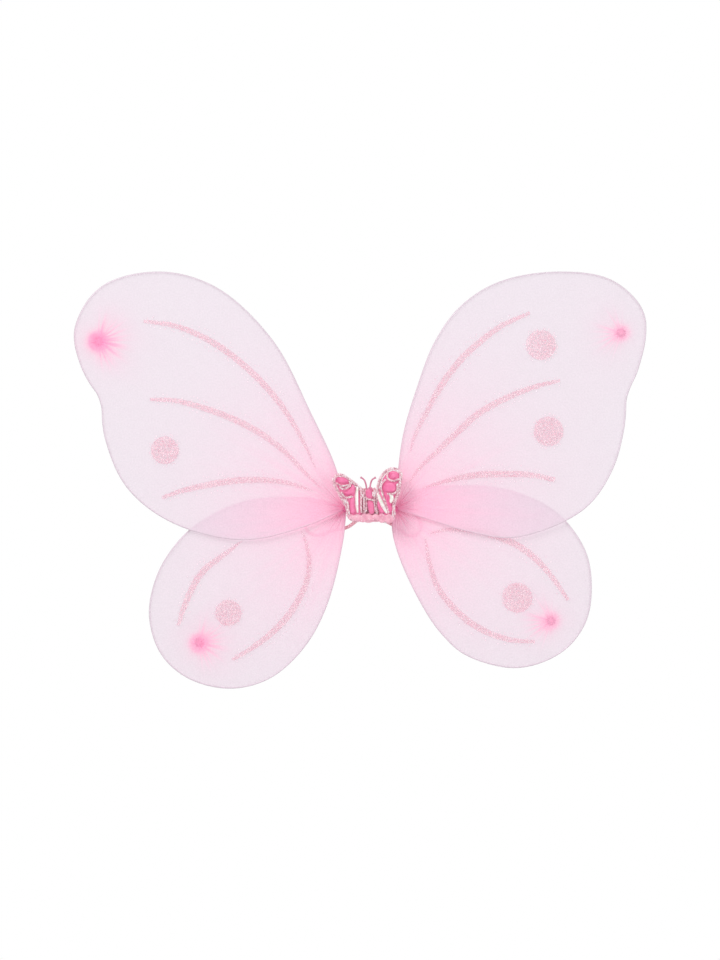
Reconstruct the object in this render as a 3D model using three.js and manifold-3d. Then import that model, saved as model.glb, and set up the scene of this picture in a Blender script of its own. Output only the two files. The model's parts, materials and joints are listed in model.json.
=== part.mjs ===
/**
 * Fairy wings: two pairs of wire-framed nylon wings on a wrapped centre, with a satin butterfly
 * on the front, a pad on the back and two elastic arm loops whose slack is folded behind it.
 *
 * Millimetres, +Z up, +X to the right seen from the front. The front faces -Y. The origin is the
 * centre of the pad's rear face, which lies against the wearer's back.
 *
 * Everything is drawn in a front view inside one upright group: x to the right, y up and z
 * towards the viewer, so a depth below is a distance in front of the pad's rear face.
 */
import * as THREE from 'three';
import { mergeVertices } from 'three/addons/utils/BufferGeometryUtils.js';
import Module from 'manifold-3d';

const wasm = await Module();
wasm.setup();

// ---------------------------------------------------------------- driving dimensions

const FIT_GAP = 0.3;

const LEFT = -1;
const RIGHT = 1;
const UP = 1;
const DOWN = -1;

const PAD = { width: 34, height: 12, thickness: 2, cornerRadius: 5 };

const ROOT_SPACING = 44;
const ROOT_HEIGHT = 5;
const KNOT_RADIUS = 4.5;

const WIRE_DIAMETER = 1.6;
const TUBE_SIDES = 8;
const TURNED_SIDES = 12;
const WIRE_STEPS = 60;
const BRAID_STEPS = 40;

const SLEEVE_THICKNESS = 1;
const WING_PLANE_OFFSET = 2;

const STEM = { diameter: 2.4, spacing: 3.2 };
const LASHING = { width: 3, thickness: 0.8, fromWrapEnd: 3 };
const WRAP = { halfLength: 14, halfDepth: 6, halfHeight: 9 };

const TAIL = { neckRadius: 1.8, flareRadius: 3.2, flareLength: 7 };
const TIP_TIE = { width: 1.6, thickness: 1.2 };

const BASE = { halfWidth: 17, bottom: -7.5, top: 16, thickness: 1.2 };
const SATIN_THICKNESS = 1.2;
const BRAID_DIAMETER = 3;
const BUTTERFLY_LIFT = THREE.MathUtils.degToRad(20);
const BUTTERFLY_INNER_EDGE = 4;
const BODY = { radius: 3, length: 22, tailX: 1.3, lean: THREE.MathUtils.degToRad(9) };
const ANTENNA_DIAMETER = 1.2;
const ANTENNA_STEPS = 8;

const ELASTIC_DIAMETER = 3;
const ELASTIC_STEPS = 32;
const HANK = { length: 45, foldWidth: 12, layers: 2, rearStart: 1, bottom: 7.5 };
const HANK_TIE = { width: 4, thickness: 0.8 };

/**
 * Each wing's wire, from its root round to its root again. A point is (outward, away) in percent
 * of the wing's reach and rise; away is up on an upper wing and down on a lower one.
 */
const WINGS = {
  left_upper: {
    side: LEFT, lift: UP, reach: 236, rise: 207, tie: [91.5, 70.5],
    outline: [
      [4, 17.5], [13, 40], [27, 70.5], [48, 93], [69, 99.5], [90.5, 93], [100, 75],
      [96.5, 57], [90.5, 45.5], [89, 31], [81, 9.5], [64.5, -5.5], [38.5, -13], [16.5, -8],
    ],
  },
  right_upper: {
    side: RIGHT, lift: UP, reach: 219, rise: 207, tie: [90, 74],
    outline: [
      [3, 29.5], [8.5, 50], [16, 70.5], [26.5, 85.5], [42, 95.5], [66, 99.5], [86, 96],
      [98, 84], [99.5, 73.5], [96, 57.5], [92, 47.5], [91, 35], [86, 16], [74.5, -0.5],
      [47.5, -12], [29, -9.5], [13.5, -4.5],
    ],
  },
  left_lower: {
    side: LEFT, lift: DOWN, reach: 171, rise: 157, tie: [75, 75],
    outline: [
      [1.5, 17.5], [10, 54.5], [21.5, 77.5], [39, 94.5], [59, 100], [80, 94.5], [94, 81],
      [100, 59.5], [96, 37.5], [87, 21], [75, 8.5], [53.5, -3], [30.5, -6], [10, -4],
    ],
  },
  right_lower: {
    side: RIGHT, lift: DOWN, reach: 171, rise: 139, tie: [79.5, 71],
    outline: [
      [-1.5, 11], [2.5, 31.5], [16, 65.5], [25, 80.5], [36, 92], [59.5, 100], [77, 95.5],
      [90, 84.5], [98.5, 65.5], [98, 31.5], [86.5, 8], [76, -2], [61, -10], [46, -13.5],
      [33, -14], [17, -13], [6, -9],
    ],
  },
};

/** The outer line of each butterfly wing, braid included, in a front view. */
const BUTTERFLY_WINGS = {
  left: [
    [-33.5, 30], [-28, 36], [-13.5, 28], [-5, 19.5], [-4, 6], [-6, -5.5], [-14, -7],
    [-20, -3.5], [-21.5, 4], [-24.5, 10.5], [-29.5, 19],
  ],
  right: [
    [20.5, 41], [27.5, 36.5], [27, 27], [25, 16.5], [21.5, 8], [21.5, -1.5], [19, -6.5],
    [13, -8], [6, -5.5], [4, 4], [4, 14], [5, 23.5], [8.5, 33.5], [13.5, 39],
  ],
};

/** Each antenna, from the head to its tip: (x, y) in a front view. */
const ANTENNAE = {
  left: [[-3.3, 21.7], [-4.2, 26.4], [-5.8, 30], [-8.8, 32.2]],
  right: [[-0.6, 21.8], [0, 26.2], [1.4, 29.9], [4.6, 32]],
};

/** Each arm loop from its sewn end beside the pad to where it joins its hank: (x, y, depth). */
const ARM_LOOPS = {
  left: [
    [-10.5, -4.6, 3.8], [-14.5, -7.8, 3.4], [-18.8, -11, 2.8], [-23.5, -12.8, 2.4],
    [-31, -14.2, 1.8], [-39.5, -17.2, 1.7], [-46.5, -18.8, 1.7], [-52.3, -17.6, 1.7],
    [-56.4, -13.6, 1.7], [-56.8, -8.6, 1.7], [-53, -5, 1.7], [-46.5, -2.8, 1.6],
    [-38, -0.2, 1.2], [-30, 2.6, 0.4], [-24.5, 4.9, -0.8], [-19.7, 8.1, -2],
  ],
  right: [
    [10.5, -4.6, 3.8], [13.4, -6.4, 3.7], [16.8, -8.2, 2.4], [20.6, -10.4, 1],
    [25, -13.8, 0.8], [29.6, -17, 0.9], [34.6, -19.4, 1], [39.8, -18.6, 1.2],
    [43.6, -14.6, 1], [44.2, -9, 0.2], [42, -3.4, -1.2], [37.6, 1, -2.8], [31.8, 3.8, -4.6],
    [25.6, 5.6, -6.6], [19.8, 7.9, -8.3],
  ],
};

// ---------------------------------------------------------------- derived places

const wireRadius = WIRE_DIAMETER / 2;
const coreDepth = PAD.thickness + FIT_GAP + WRAP.halfDepth;
const wrapFront = coreDepth + WRAP.halfDepth;
const baseFront = wrapFront + FIT_GAP + BASE.thickness;
const stemBundleRadius = (STEM.spacing * Math.SQRT2 + STEM.diameter) / 2;
const lashingInner = stemBundleRadius + FIT_GAP;
const lashingOuter = lashingInner + LASHING.thickness;
const wrapBore = lashingOuter + FIT_GAP;

// ---------------------------------------------------------------- geometry helpers

/** A closed shape through the given (x, y) points. */
function polygon(points) {
  return new THREE.Shape(points.map(([x, y]) => new THREE.Vector2(x, y)));
}

/** The corners of a regular polygon of the given radius. */
function ringOfPoints(radius, sides) {
  return Array.from({ length: sides }, (_, index) => {
    const angle = (index + 0.5) / sides * 2 * Math.PI;
    return [radius * Math.cos(angle), radius * Math.sin(angle)];
  });
}

/** A shape's prism, from z = 0 forwards. */
function prism(shape, depth, curveSegments = 12) {
  return new THREE.ExtrudeGeometry(shape, { depth, bevelEnabled: false, curveSegments });
}

/** A round tube with closed ends along a curve. */
function tube(curve, diameter, sides, steps) {
  const section = polygon(ringOfPoints(diameter / 2, sides));
  return new THREE.ExtrudeGeometry(section, { steps, extrudePath: curve });
}

/** A smooth open curve through the given points. */
function smoothCurve(points) {
  return new THREE.CatmullRomCurve3(points, false, 'centripetal');
}

/** A ring turned about the y axis, centred on the origin. */
function turnedRing(innerRadius, outerRadius, width, segments = 16) {
  const half = width / 2;
  const corners = [
    [innerRadius, -half], [outerRadius, -half], [outerRadius, half], [innerRadius, half],
    [innerRadius, -half],
  ];
  return new THREE.LatheGeometry(corners.map(([r, y]) => new THREE.Vector2(r, y)), segments);
}

/** A rectangle with round corners, centred on the origin. */
function roundedRectangle(width, height, radius) {
  const x = width / 2 - radius;
  const y = height / 2 - radius;
  const shape = new THREE.Shape();
  shape.absarc(x, y, radius, 0, Math.PI / 2);
  shape.absarc(-x, y, radius, Math.PI / 2, Math.PI);
  shape.absarc(-x, -y, radius, Math.PI, 1.5 * Math.PI);
  shape.absarc(x, -y, radius, 1.5 * Math.PI, 2 * Math.PI);
  return shape;
}

/** The points of a closed (x, y) line moved inwards by a distance. */
function inset(points, distance) {
  const area = THREE.ShapeUtils.area(points);
  const inward = Math.sign(area);
  return points.map((point, index) => {
    const before = points[(index + points.length - 1) % points.length];
    const after = points[(index + 1) % points.length];
    const along = new THREE.Vector2(after.x - before.x, after.y - before.y).normalize();
    return new THREE.Vector2(
      point.x - inward * along.y * distance, point.y + inward * along.x * distance);
  });
}

/** A manifold solid of a closed geometry. */
function toSolid(geometry) {
  const bare = geometry.clone();
  bare.deleteAttribute('normal');
  bare.deleteAttribute('uv');
  const merged = mergeVertices(bare);
  return new wasm.Manifold(new wasm.Mesh({
    numProp: 3,
    vertProperties: new Float32Array(merged.attributes.position.array),
    triVerts: new Uint32Array(merged.index.array),
  }));
}

/** The geometry of a manifold solid. */
function toGeometry(solid) {
  const mesh = solid.getMesh();
  const geometry = new THREE.BufferGeometry();
  geometry.setAttribute('position', new THREE.BufferAttribute(mesh.vertProperties, 3));
  geometry.setIndex(new THREE.BufferAttribute(mesh.triVerts, 1));
  geometry.computeVertexNormals();
  return geometry;
}

/** How far from a ball's axis a piece may start, when its nearest face is offset from the centre. */
function clearOfBall(radius, offset) {
  return Math.sqrt((radius + FIT_GAP) ** 2 - offset ** 2);
}

// ---------------------------------------------------------------- finishes

const FINISH = {
  wire: { color: 0xd9d2d8, roughness: 0.35, metalness: 0.9 },
  nylon: { color: 0xf3dbe8, roughness: 0.7, metalness: 0 },
  thread: { color: 0xf9a8c8, roughness: 0.8, metalness: 0 },
  satin: { color: 0xef7aa7, roughness: 0.35, metalness: 0 },
  paleSatin: { color: 0xe79db4, roughness: 0.4, metalness: 0 },
  felt: { color: 0xf6c3d6, roughness: 0.95, metalness: 0 },
  braid: { color: 0xd8b4c4, roughness: 0.4, metalness: 0.5 },
  elastic: { color: 0xe9a9bd, roughness: 0.85, metalness: 0 },
};

const wings = new THREE.Group();
wings.rotation.x = Math.PI / 2;

/** Adds one named piece to a group and returns its mesh. */
function addPiece(parent, name, geometry, finish) {
  const mesh = new THREE.Mesh(geometry, new THREE.MeshStandardMaterial(finish));
  mesh.name = name;
  parent.add(mesh);
  return mesh;
}

// ---------------------------------------------------------------- wings

/** The centreline of a wing's wire, cut off where it meets its neck knot. */
function wireLine(wing) {
  const root = new THREE.Vector3();
  const drawn = wing.outline.map(([outward, away]) => wingPoint(wing, outward, away));
  const whole = smoothCurve([root, ...drawn, root.clone()]).getSpacedPoints(WIRE_STEPS);
  const start = clearOfBall(KNOT_RADIUS, WING_PLANE_OFFSET - wireRadius);
  const ends = [whole[1], whole.at(-2)].map((point) => point.clone().setLength(start));
  return smoothCurve([ends[0], ...whole.slice(1, -1), ends[1]]);
}

/** A place in a wing's own plane, from percentages of its reach and rise. */
function wingPoint(wing, outward, away) {
  return new THREE.Vector3(
    wing.side * wing.reach * outward / 100, wing.lift * wing.rise * away / 100, 0);
}

/** The nylon's flat outline: inside the wire all round, and clear of the neck knot. */
function sleeveOutline(line) {
  const centres = line.getSpacedPoints(WIRE_STEPS).map((point) => new THREE.Vector2(point.x, point.y));
  const offset = wireRadius + FIT_GAP;
  const inner = inset(centres, offset).slice(1, -1);
  const cut = clearOfBall(KNOT_RADIUS, WING_PLANE_OFFSET - SLEEVE_THICKNESS / 2);
  const turn = Math.sign(THREE.ShapeUtils.area(centres));
  const sideStep = turn * Math.asin(offset / cut);
  const startAngle = centres[0].angle() + sideStep;
  const endAngle = centres.at(-1).angle() - sideStep;
  const sweep = THREE.MathUtils.euclideanModulo(turn * (endAngle - startAngle), 2 * Math.PI) * turn;
  const arcSteps = 6;
  const arc = Array.from({ length: arcSteps + 1 }, (_, index) => {
    const angle = endAngle - sweep * index / arcSteps;
    return new THREE.Vector2(cut * Math.cos(angle), cut * Math.sin(angle));
  });
  return [...inner, ...arc];
}

/** The gathered tail on the back of a sleeve: a neck for the tie and a flare behind it. */
function gatheredTail() {
  const { neckRadius, flareRadius, flareLength } = TAIL;
  const neckEnd = SLEEVE_THICKNESS / 2 + TIP_TIE.width + 2 * FIT_GAP;
  const profile = [
    [0, 0], [neckRadius, 0], [neckRadius, neckEnd], [flareRadius, neckEnd + flareLength],
    [0, neckEnd + flareLength],
  ];
  const turned = new THREE.LatheGeometry(profile.map(([r, y]) => new THREE.Vector2(r, y)), TURNED_SIDES);
  return turned.rotateX(-Math.PI / 2);
}

for (const [name, wing] of Object.entries(WINGS)) {
  const plane = new THREE.Group();
  plane.position.set(
    wing.side * ROOT_SPACING / 2, ROOT_HEIGHT, coreDepth + wing.lift * WING_PLANE_OFFSET);
  wings.add(plane);

  const line = wireLine(wing);
  addPiece(plane, `${name}_wire`, tube(line, WIRE_DIAMETER, TUBE_SIDES, WIRE_STEPS), FINISH.wire);

  const tiePlace = wingPoint(wing, ...wing.tie);
  const cloth = prism(new THREE.Shape(sleeveOutline(line)), SLEEVE_THICKNESS);
  cloth.translate(0, 0, -SLEEVE_THICKNESS / 2);
  const tail = gatheredTail().translate(tiePlace.x, tiePlace.y, 0);
  const sleeve = toGeometry(toSolid(cloth).add(toSolid(tail)));
  addPiece(plane, `${name}_sleeve`, sleeve, FINISH.nylon);

  const tieInner = TAIL.neckRadius + FIT_GAP;
  const tie = addPiece(plane, `${name}_tip_tie`,
    turnedRing(tieInner, tieInner + TIP_TIE.thickness, TIP_TIE.width, TURNED_SIDES),
    FINISH.thread);
  tie.rotation.x = Math.PI / 2;
  tie.position.set(
    tiePlace.x, tiePlace.y, -(SLEEVE_THICKNESS / 2 + FIT_GAP + TIP_TIE.width / 2));
}

// ---------------------------------------------------------------- centre

const centre = new THREE.Group();
centre.position.set(0, ROOT_HEIGHT, coreDepth);
wings.add(centre);

for (const [name, side] of [['left', LEFT], ['right', RIGHT]]) {
  const knot = addPiece(
    centre, `${name}_neck_knot`, new THREE.SphereGeometry(KNOT_RADIUS, 16, 10), FINISH.thread);
  knot.position.x = side * ROOT_SPACING / 2;

  const lashing = addPiece(
    centre, `${name}_lashing`, turnedRing(lashingInner, lashingOuter, LASHING.width), FINISH.thread);
  lashing.rotation.z = Math.PI / 2;
  lashing.position.x = side * (WRAP.halfLength - LASHING.fromWrapEnd);
}

const stemLength = ROOT_SPACING - 2 * (KNOT_RADIUS + FIT_GAP);
for (const [name, up, forward] of [
  ['left_upper', UP, 1], ['right_upper', UP, -1], ['left_lower', DOWN, -1], ['right_lower', DOWN, 1],
]) {
  const radius = STEM.diameter / 2;
  const stem = addPiece(centre, `${name}_stem`,
    new THREE.CylinderGeometry(radius, radius, stemLength, TUBE_SIDES), FINISH.wire);
  stem.rotation.z = Math.PI / 2;
  stem.position.set(0, up * STEM.spacing / 2, forward * STEM.spacing / 2);
}

const wrapSection = new THREE.Shape();
wrapSection.absellipse(0, 0, WRAP.halfDepth, WRAP.halfHeight, 0, 2 * Math.PI);
const wrapHole = new THREE.Path();
wrapHole.absarc(0, 0, wrapBore, 0, 2 * Math.PI);
wrapSection.holes.push(wrapHole);
const wrapGeometry = prism(wrapSection, 2 * WRAP.halfLength);
wrapGeometry.rotateY(Math.PI / 2).translate(-WRAP.halfLength, 0, 0);
addPiece(centre, 'satin_wrap', wrapGeometry, FINISH.paleSatin);

addPiece(wings, 'back_pad',
  prism(roundedRectangle(PAD.width, PAD.height, PAD.cornerRadius), PAD.thickness, 6), FINISH.felt);

// ---------------------------------------------------------------- butterfly

const baseMiddle = (BASE.top + BASE.bottom) / 2;
const baseShape = new THREE.Shape();
baseShape.absellipse(0, baseMiddle, BASE.halfWidth, BASE.top - baseMiddle, 0, 2 * Math.PI);
addPiece(wings, 'butterfly_base', prism(baseShape, BASE.thickness), FINISH.paleSatin)
  .position.z = wrapFront + FIT_GAP;

for (const [name, side] of [['left', LEFT], ['right', RIGHT]]) {
  const braidRadius = BRAID_DIAMETER / 2;
  const seam = side * (BUTTERFLY_INNER_EDGE + braidRadius);
  const plane = new THREE.Group();
  plane.position.set(seam, 0, baseFront + FIT_GAP + braidRadius);
  plane.rotation.y = -side * BUTTERFLY_LIFT;
  wings.add(plane);

  const outer = BUTTERFLY_WINGS[name].map(
    ([x, y]) => new THREE.Vector3((x - seam) / Math.cos(BUTTERFLY_LIFT), y, 0));
  const whole = new THREE.CatmullRomCurve3(outer, true, 'centripetal');
  const stations = whole.getSpacedPoints(BRAID_STEPS).slice(0, -1);
  const outline = stations.map(({ x, y }) => new THREE.Vector2(x, y));

  const braidLine = inset(outline, braidRadius).map(({ x, y }) => new THREE.Vector3(x, y, 0));
  addPiece(plane, `butterfly_${name}_trim`,
    tube(smoothCurve(braidLine), BRAID_DIAMETER, TUBE_SIDES, BRAID_STEPS), FINISH.braid);

  const satin = prism(new THREE.Shape(inset(outline, BRAID_DIAMETER + FIT_GAP)), SATIN_THICKNESS);
  satin.translate(0, 0, -SATIN_THICKNESS / 2);
  addPiece(plane, `butterfly_${name}_wing`, satin, FINISH.satin);
}

const bodyDepth = baseFront + FIT_GAP + BODY.radius;
const bodyProfile = [
  [0, 0], [0.4, 0.06], [0.8, 0.28], [1, 0.54], [0.85, 0.72], [0.6, 0.8], [0.8, 0.89], [0.55, 0.97],
  [0, 1],
].map(([width, height]) => new THREE.Vector2(width * BODY.radius, height * BODY.length));
const body = addPiece(
  wings, 'butterfly_body', new THREE.LatheGeometry(bodyProfile, TURNED_SIDES), FINISH.satin);
body.position.set(BODY.tailX, 0, bodyDepth);
body.rotation.z = BODY.lean;

for (const [name, points] of Object.entries(ANTENNAE)) {
  const line = smoothCurve(points.map(([x, y]) => new THREE.Vector3(x, y, 0)));
  const antenna = tube(line, ANTENNA_DIAMETER, TUBE_SIDES, ANTENNA_STEPS);
  addPiece(wings, `butterfly_${name}_antenna`, antenna, FINISH.satin).position.z = bodyDepth;
}

// ---------------------------------------------------------------- arm loops

const hankWidth = HANK.foldWidth + ELASTIC_DIAMETER;
const hankDepth = HANK.layers * ELASTIC_DIAMETER;
const hankMiddle = HANK.bottom + hankWidth / 2;

for (const [name, order] of [['left', 0], ['right', 1]]) {
  const line = smoothCurve(ARM_LOOPS[name].map((point) => new THREE.Vector3(...point)));
  const strap = tube(line, ELASTIC_DIAMETER, TUBE_SIDES, ELASTIC_STEPS);
  addPiece(wings, `${name}_strap`, strap, FINISH.elastic);

  const hank = prism(roundedRectangle(HANK.length, hankWidth, hankWidth / 2), hankDepth, 8);
  const rear = HANK.rearStart - (order + 1) * hankDepth - order * FIT_GAP;
  addPiece(wings, `${name}_strap_hank`, hank, FINISH.elastic).position.set(0, hankMiddle, rear);
}

const bundleDepth = 2 * hankDepth + FIT_GAP;
const tieShape = polygon(boxCorners(bundleDepth, hankWidth, FIT_GAP + HANK_TIE.thickness));
tieShape.holes.push(new THREE.Path(
  boxCorners(bundleDepth, hankWidth, FIT_GAP).map(([x, y]) => new THREE.Vector2(x, y))));
const hankTie = prism(tieShape, HANK_TIE.width);
hankTie.translate(0, 0, -HANK_TIE.width / 2).rotateY(Math.PI / 2);
addPiece(wings, 'strap_tie', hankTie, FINISH.thread)
  .position.set(0, hankMiddle, HANK.rearStart - bundleDepth / 2);

/** The corners of a rectangle that stands off another one, centred on the origin. */
function boxCorners(width, height, standOff) {
  const x = width / 2 + standOff;
  const y = height / 2 + standOff;
  return [[-x, -y], [x, -y], [x, y], [-x, y]];
}

export default wings;
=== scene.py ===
"""Fairy wings, dressed: sheer nylon pulled over wire loops, glitter veins, a satin butterfly on
the front, a felt pad and two folded elastic arm loops on the back.

Metres throughout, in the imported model's own frame: +X to the right, +Z up, the front towards -Y.
"""
import sys

import json
import logging
import math
import random
from collections.abc import Callable, Sequence
from dataclasses import dataclass, field
from enum import Enum

import bmesh
import bpy
import numpy as np
from mathutils import Matrix, Vector, geometry, noise


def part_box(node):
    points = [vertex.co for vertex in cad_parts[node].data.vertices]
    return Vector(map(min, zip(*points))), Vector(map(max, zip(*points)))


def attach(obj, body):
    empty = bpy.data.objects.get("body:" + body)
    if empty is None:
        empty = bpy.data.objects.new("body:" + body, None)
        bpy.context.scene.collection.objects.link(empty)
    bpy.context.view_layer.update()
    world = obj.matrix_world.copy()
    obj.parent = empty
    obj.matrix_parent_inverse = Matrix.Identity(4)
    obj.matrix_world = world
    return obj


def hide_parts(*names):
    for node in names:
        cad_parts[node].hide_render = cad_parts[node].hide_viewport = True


Tree, Node, Socket = bpy.types.NodeTree, bpy.types.Node, bpy.types.NodeSocket
Piece = bpy.types.Object
Line, Places = Sequence[Vector], Sequence[tuple[float, float]]

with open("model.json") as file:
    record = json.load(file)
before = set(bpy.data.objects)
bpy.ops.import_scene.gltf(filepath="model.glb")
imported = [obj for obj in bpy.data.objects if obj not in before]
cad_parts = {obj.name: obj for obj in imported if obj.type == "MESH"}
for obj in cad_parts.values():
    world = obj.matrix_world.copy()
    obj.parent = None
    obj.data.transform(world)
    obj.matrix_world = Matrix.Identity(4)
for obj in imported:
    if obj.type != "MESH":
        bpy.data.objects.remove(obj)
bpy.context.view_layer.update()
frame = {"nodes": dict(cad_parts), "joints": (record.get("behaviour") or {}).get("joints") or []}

MM = 0.001
FORWARD = Vector((0, -1, 0))
ALONG_X = Matrix(((0, 0, 1, 0), (1, 0, 0, 0), (0, 1, 0, 0), (0, 0, 0, 1)))
# A wave texture of scale 1 / (width * WAVE_BAND) has light and dark bands of about that width.
WAVE_BAND = 6.283
LOG = logging.getLogger("fairy_wings")


class Side(Enum):
    """A side of the object, seen from the front."""

    LEFT = "left"
    RIGHT = "right"

    @property
    def sign(self) -> int:
        """The side's direction along X."""
        return -1 if self is Side.LEFT else 1


class Tier(Enum):
    """Which wing of a side."""

    UPPER = "upper"
    LOWER = "lower"

    @property
    def sign(self) -> int:
        """The wing's direction along Z."""
        return 1 if self is Tier.UPPER else -1


# ------------------------------------------------------------------------------ lines and meshes


def cad_box(node: str) -> tuple[Vector, Vector]:
    """A CAD node's lowest and highest corners."""
    low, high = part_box(node)
    return Vector(low), Vector(high)


def cad_middle(node: str) -> Vector:
    """The middle of a CAD node's box."""
    low, high = cad_box(node)
    return (low + high) / 2


def blend_value(low: float, high: float, share: float) -> float:
    """The value a share of the way from low to high."""
    return low + (high - low) * share


def heading(angle: float) -> Vector:
    """The flat direction at an angle."""
    return Vector((math.cos(angle), math.sin(angle)))


def faded(reach: float, width: float, power: float = 1) -> float:
    """What is left of an effect at a reach: all of it at 0, and about a third at its width."""
    return math.exp(-(reach / width) ** power)


def growing(first: float, last: float, steps: int) -> list[float]:
    """Distances from first to last, each longer than the one before by the same share."""
    return [first * (last / first) ** (step / steps) for step in range(steps + 1)]


def smooth_line(points: Line, spacing: float, closed: bool = False) -> list[Vector]:
    """A smooth line through points, by centripetal Catmull-Rom spans.

    Args:
        points: The points it passes through, of two or three numbers each.
        spacing: The distance between the points returned, about.
        closed: Whether the last point joins the first.

    Returns:
        The line's points, without a repeat of the first on a closed one.
    """
    count = len(points)
    line = []
    for index in range(count if closed else count - 1):
        start, end = points[index], points[(index + 1) % count]
        before = points[index - 1] if closed or index else 2 * start - end
        after = points[(index + 2) % count] if closed or index + 2 < count else 2 * end - start
        marks = [0.0]
        for near, far in ((before, start), (start, end), (end, after)):
            marks.append(marks[-1] + math.sqrt(max((far - near).length, 1e-9)))
        steps = max(1, round((end - start).length / spacing))
        for step in range(steps):
            mark = blend_value(marks[1], marks[2], step / steps)
            line.append(_span_point((before, start, end, after), marks, mark))
    if not closed:
        line.append(points[-1].copy())
    return line


def _span_point(points: Line, marks: Sequence[float], mark: float) -> Vector:
    """A point of a Catmull-Rom span, by repeated blending of its four points."""
    row = list(points)
    for spans in (((0, 1), (1, 2), (2, 3)), ((0, 2), (1, 3)), ((1, 2),)):
        row = [near + (far - near) * ((mark - marks[low]) / (marks[high] - marks[low]))
               for near, far, (low, high) in zip(row, row[1:], spans)]
    return row[0]


def line_length(points: Line) -> float:
    """The length of a line of points."""
    return sum((far - near).length for near, far in zip(points, points[1:]))


def even_line(points: Line, spacing: float) -> list[Vector]:
    """The same line with its points an even distance apart."""
    total = line_length(points)
    steps = max(2, round(total / spacing))
    line, travelled, index = [points[0].copy()], 0.0, 0
    for step in range(1, steps):
        target = total * step / steps
        while travelled + (points[index + 1] - points[index]).length < target:
            travelled += (points[index + 1] - points[index]).length
            index += 1
        piece = points[index + 1] - points[index]
        line.append(points[index] + piece * ((target - travelled) / piece.length))
    line.append(points[-1].copy())
    return line


def link(name: str, mesh: bpy.types.Mesh) -> Piece:
    """Puts a mesh in the scene as an object of the same name."""
    mesh.name = name
    piece = bpy.data.objects.new(name, mesh)
    bpy.context.scene.collection.objects.link(piece)
    return piece


@dataclass
class Surface:
    """Vertices and faces being gathered for one mesh, with an optional UV in metres per corner."""

    points: list[Vector] = field(default_factory=list)
    faces: list[tuple[int, ...]] = field(default_factory=list)
    uvs: list[tuple[tuple[float, float], ...]] = field(default_factory=list)

    def add(self, other: "Surface") -> None:
        """Joins another surface's faces to this one."""
        shift = len(self.points)
        self.points += other.points
        self.faces += [tuple(index + shift for index in face) for face in other.faces]
        self.uvs += other.uvs

    def moved(self, matrix: Matrix) -> "Surface":
        """The same surface, carried by a matrix."""
        return Surface([matrix @ point for point in self.points], list(self.faces), list(self.uvs))

    def build(self, name: str) -> Piece:
        """Makes the object, smooth, closed at doubles and facing out.

        Args:
            name: The piece's name.

        Returns:
            The linked object.
        """
        mesh = bpy.data.meshes.new(name)
        mesh.from_pydata([tuple(point) for point in self.points], [], self.faces)
        if self.uvs:
            layer = mesh.uv_layers.new(name="UVMap")
            layer.data.foreach_set("uv", np.ravel([pair for face in self.uvs for pair in face]))
        grid = bmesh.new()
        grid.from_mesh(mesh)
        bmesh.ops.remove_doubles(grid, verts=grid.verts, dist=1e-6)
        bmesh.ops.recalc_face_normals(grid, faces=grid.faces)
        grid.to_mesh(mesh)
        grid.free()
        mesh.shade_smooth()
        return link(name, mesh)


@dataclass
class Patches(Surface):
    """Flat areas to print on, with how thickly each point is covered."""

    covers: list[float] = field(default_factory=list)

    def build(self, name: str) -> Piece:
        """Makes the areas as one object with every face to the front."""
        mesh = bpy.data.meshes.new(name)
        mesh.from_pydata([tuple(point) for point in self.points], [], self.faces)
        for polygon in mesh.polygons:
            if polygon.normal.dot(FORWARD) < 0:
                polygon.flip()
        return link(name, mesh)


def swept(points: Line, radius: float | Callable[[float], float], sides: int,
          closed: bool = False) -> Surface:
    """A round tube along a line, with its own ends closed.

    Args:
        points: The line it follows.
        radius: Its radius, or a function that gives it at a share of the length.
        sides: How many faces it has round it.
        closed: Whether the line's end joins its start.

    Returns:
        The tube, with UVs that run round it and along it in metres.
    """
    surface = Surface()
    count = len(points)
    steps = count if closed else count - 1
    width_at = radius if callable(radius) else lambda share: radius
    tangent = (points[1] - points[0]).normalized()
    normal = tangent.orthogonal().normalized()
    travelled = [0.0]
    for index in range(count):
        ahead = points[(index + 1) % count] if closed or index < count - 1 else points[index]
        behind = points[index - 1] if closed or index else points[index]
        turned_to = (ahead - behind).normalized()
        normal = (normal - turned_to * normal.dot(turned_to)).normalized()
        across = turned_to.cross(normal)
        width = width_at(index / steps)
        for side in range(sides):
            angle = 2 * math.pi * side / sides
            surface.points.append(
                points[index] + (normal * math.cos(angle) + across * math.sin(angle)) * width)
        travelled.append(travelled[-1] + (points[(index + 1) % count] - points[index]).length)
    for ring in range(steps):
        for side in range(sides):
            after, beyond = (side + 1) % sides, (ring + 1) % count
            surface.faces.append((ring * sides + side, ring * sides + after,
                                  beyond * sides + after, beyond * sides + side))
            round_width = 2 * math.pi * width_at(ring / steps) / sides
            u, v = side * round_width, travelled[ring]
            u_next, v_next = u + round_width, travelled[ring + 1]
            surface.uvs.append(((u, v), (u_next, v), (u_next, v_next), (u, v_next)))
    if not closed:
        for middle, start in ((points[0], 0), (points[-1], (count - 1) * sides)):
            hub = len(surface.points)
            surface.points.append(middle.copy())
            for side in range(sides):
                surface.faces.append((hub, start + side, start + (side + 1) % sides))
                surface.uvs.append(((0.0, 0.0),) * 3)
    return surface


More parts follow.
